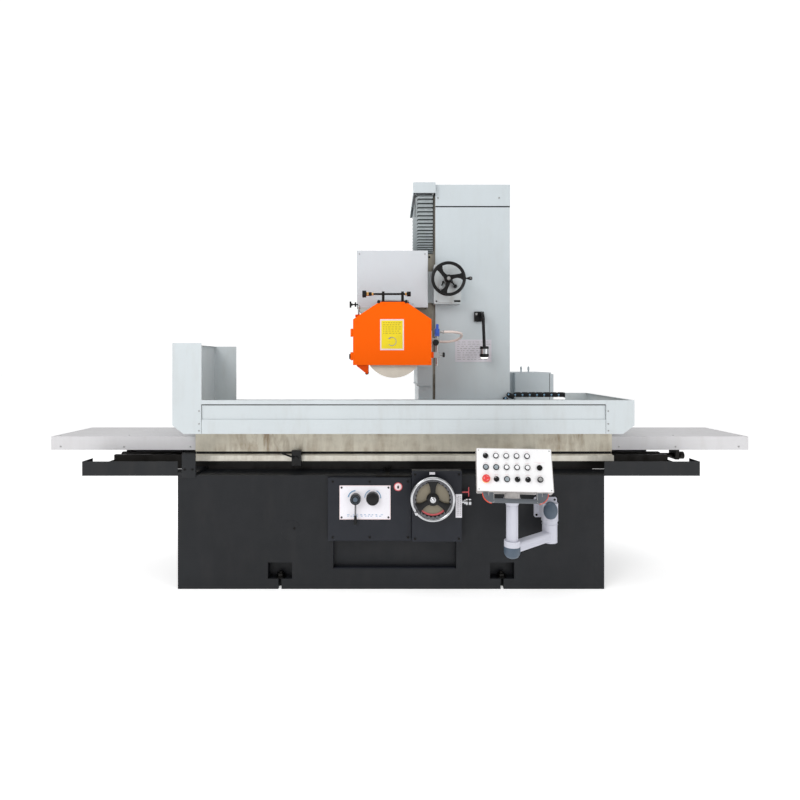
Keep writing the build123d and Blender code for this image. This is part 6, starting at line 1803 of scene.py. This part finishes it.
@dataclass
class CabinetTrim:
    """The electrical cabinet's door seam, handle, louvres and isolator."""

    def build(self) -> None:
        """Make the cabinet's trim."""
        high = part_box("electrical_cabinet")[1]
        right = high.x - 0.020
        front = 0.800
        seam = Shape().box((right - 0.0145, front - 0.0008, 0.02), (right - 0.0110, front, 1.236))
        seam.piece("cabinet_seam", RUBBER, "bed")
        grip = Shape().box((high.x, 0.86, 0.74), (high.x + 0.006, 0.885, 0.90), 0.002)
        grip.rod((high.x + 0.005, 0.8725, 0.80), 0.009, 0.018, Axis.X, 0.002, 28)
        grip.box((high.x + 0.018, 0.865, 0.795), (high.x + 0.026, 0.880, 0.885), 0.003, 3)
        grip.piece("cabinet_handle", CHROME, "bed")
        isolator = Shape().lathe([(0, 0.006), (0.034, 0.006), (0.034, 0), (0, 0)], (high.x, 1.06, 1.06),
                                 Axis.X, 40)
        isolator.piece("isolator_plate", STOP_YELLOW, "bed")
        knob = Shape().rod((high.x + 0.006, 1.06, 1.06), 0.022, 0.014, Axis.X, 0.003, 36)
        knob.box((high.x + 0.018, 1.052, 1.036), (high.x + 0.036, 1.068, 1.084), 0.003, 3)
        knob.piece("isolator_knob", STOP_RED, "bed")
        slats = Shape()
        for i in range(8):
            z = 0.18 + 0.028 * i
            slats.prism([(high.x - 0.0005, z), (high.x + 0.009, z + 0.004), (high.x - 0.0005, z + 0.017)],
                        Axis.Y, 0.93,
                        0.22)
        slats.piece("cabinet_louvres", SHEET_GREY, "bed")


# ---- the machine ----------------------------------------------------------------------------------
@dataclass(frozen=True)
class Livery:
    """Which finish each plain CAD node carries."""

    def apply(self) -> None:
        """Dress every CAD node that stays in view."""
        for finish, nodes in (
            (BED_BLACK, ("bed_base",)),
            (WAY_BLACK_AND_SHADE, ("bed_rails",)),
            (TRAY_BLACK, ("bed_trays",)),
            (PANEL_BLACK, ("front_cover", "feed_gearbox")),
            (PLATE_WHITE, ("control_plate",)),
            (DARK_STEEL, ("proximity_switches",)),
            (WAY_IRON, ("column",)),
            (SHEET_GREY, ("column_covers", "lower_cover_base", "lower_cover_top", "electrical_cabinet")),
            (BLACK,
             ("lamp_base", "lamp_arm", "dial_knob", "throttle_lever", "speed_knob", "dog_left", "dog_right",
                     "dresser_knob")),
            (ARM_LILAC, ("pendant_bracket", "pendant_arm", "pendant_post")),
            (DARK_STEEL, ("dresser",)),
            (STEEL, ("table_cylinder", "spindle", "wheel_flange", "elevating_screw", "coolant_valve")),
            (TABLE_IRON, ("table",)),
            (RAIL_IRON, ("dog_rail",)),
            (TROUGH_GREY, ("splash_trough",)),
            (WING_GREY, ("way_covers",)),
            (STEEL, ("magnetic_chuck",)),
            (CHROME, ("clutch_knob",)),
            (DARK_STEEL, ("piston_rod",)),
            (SADDLE_IRON, ("carriage",)),
            (HOOD_GREY, ("carriage_cover",)),
            (CASTING_GREY, ("crossfeed_gearbox", "wheelhead", "spindle_motor")),
            # the guard's shell takes the darker orange copy as painted shade
            (ORANGE_PAINTED_SHADE, ("wheel_guard",)),
            (ORANGE, ("guard_door",)),
            (Abrasive("bonded_abrasive"), ("grinding_wheel",)),
            (VALVE_BLUE, ("valve_lever",)),
            (PENDANT_SIDE, ("pendant_box",)),
            (BLACK, ("pilot_lamps", "selector_1", "selector_2", "selector_3", "selector_4")),
            (BUTTON_GREY, ("button_1", "button_2", "button_3")),
            (STOP_RED, ("e_stop",)),
        ):
            dress(nodes, finish)


def main() -> None:
    """Build the studio and every sub-assembly."""
    logging.basicConfig(level=logging.INFO, format="%(name)s: %(message)s")
    Studio().build()
    CoolantHose().build()
    Livery().apply()
    for maker in (FoldedCover(), CableChain(), FeedWheel(), CrossWheel(), GuardTrim(), Pendant(),
                  FrontControls(),
                  BedTrim(), TableTrim(), ColumnTrim(), CarriageTrim(), MotorTrim(), LampTrim(),
                  CabinetTrim()):
        maker.build()
        LOG.info("built %s", type(maker).__name__)


if __name__ == "__main__":
    main()
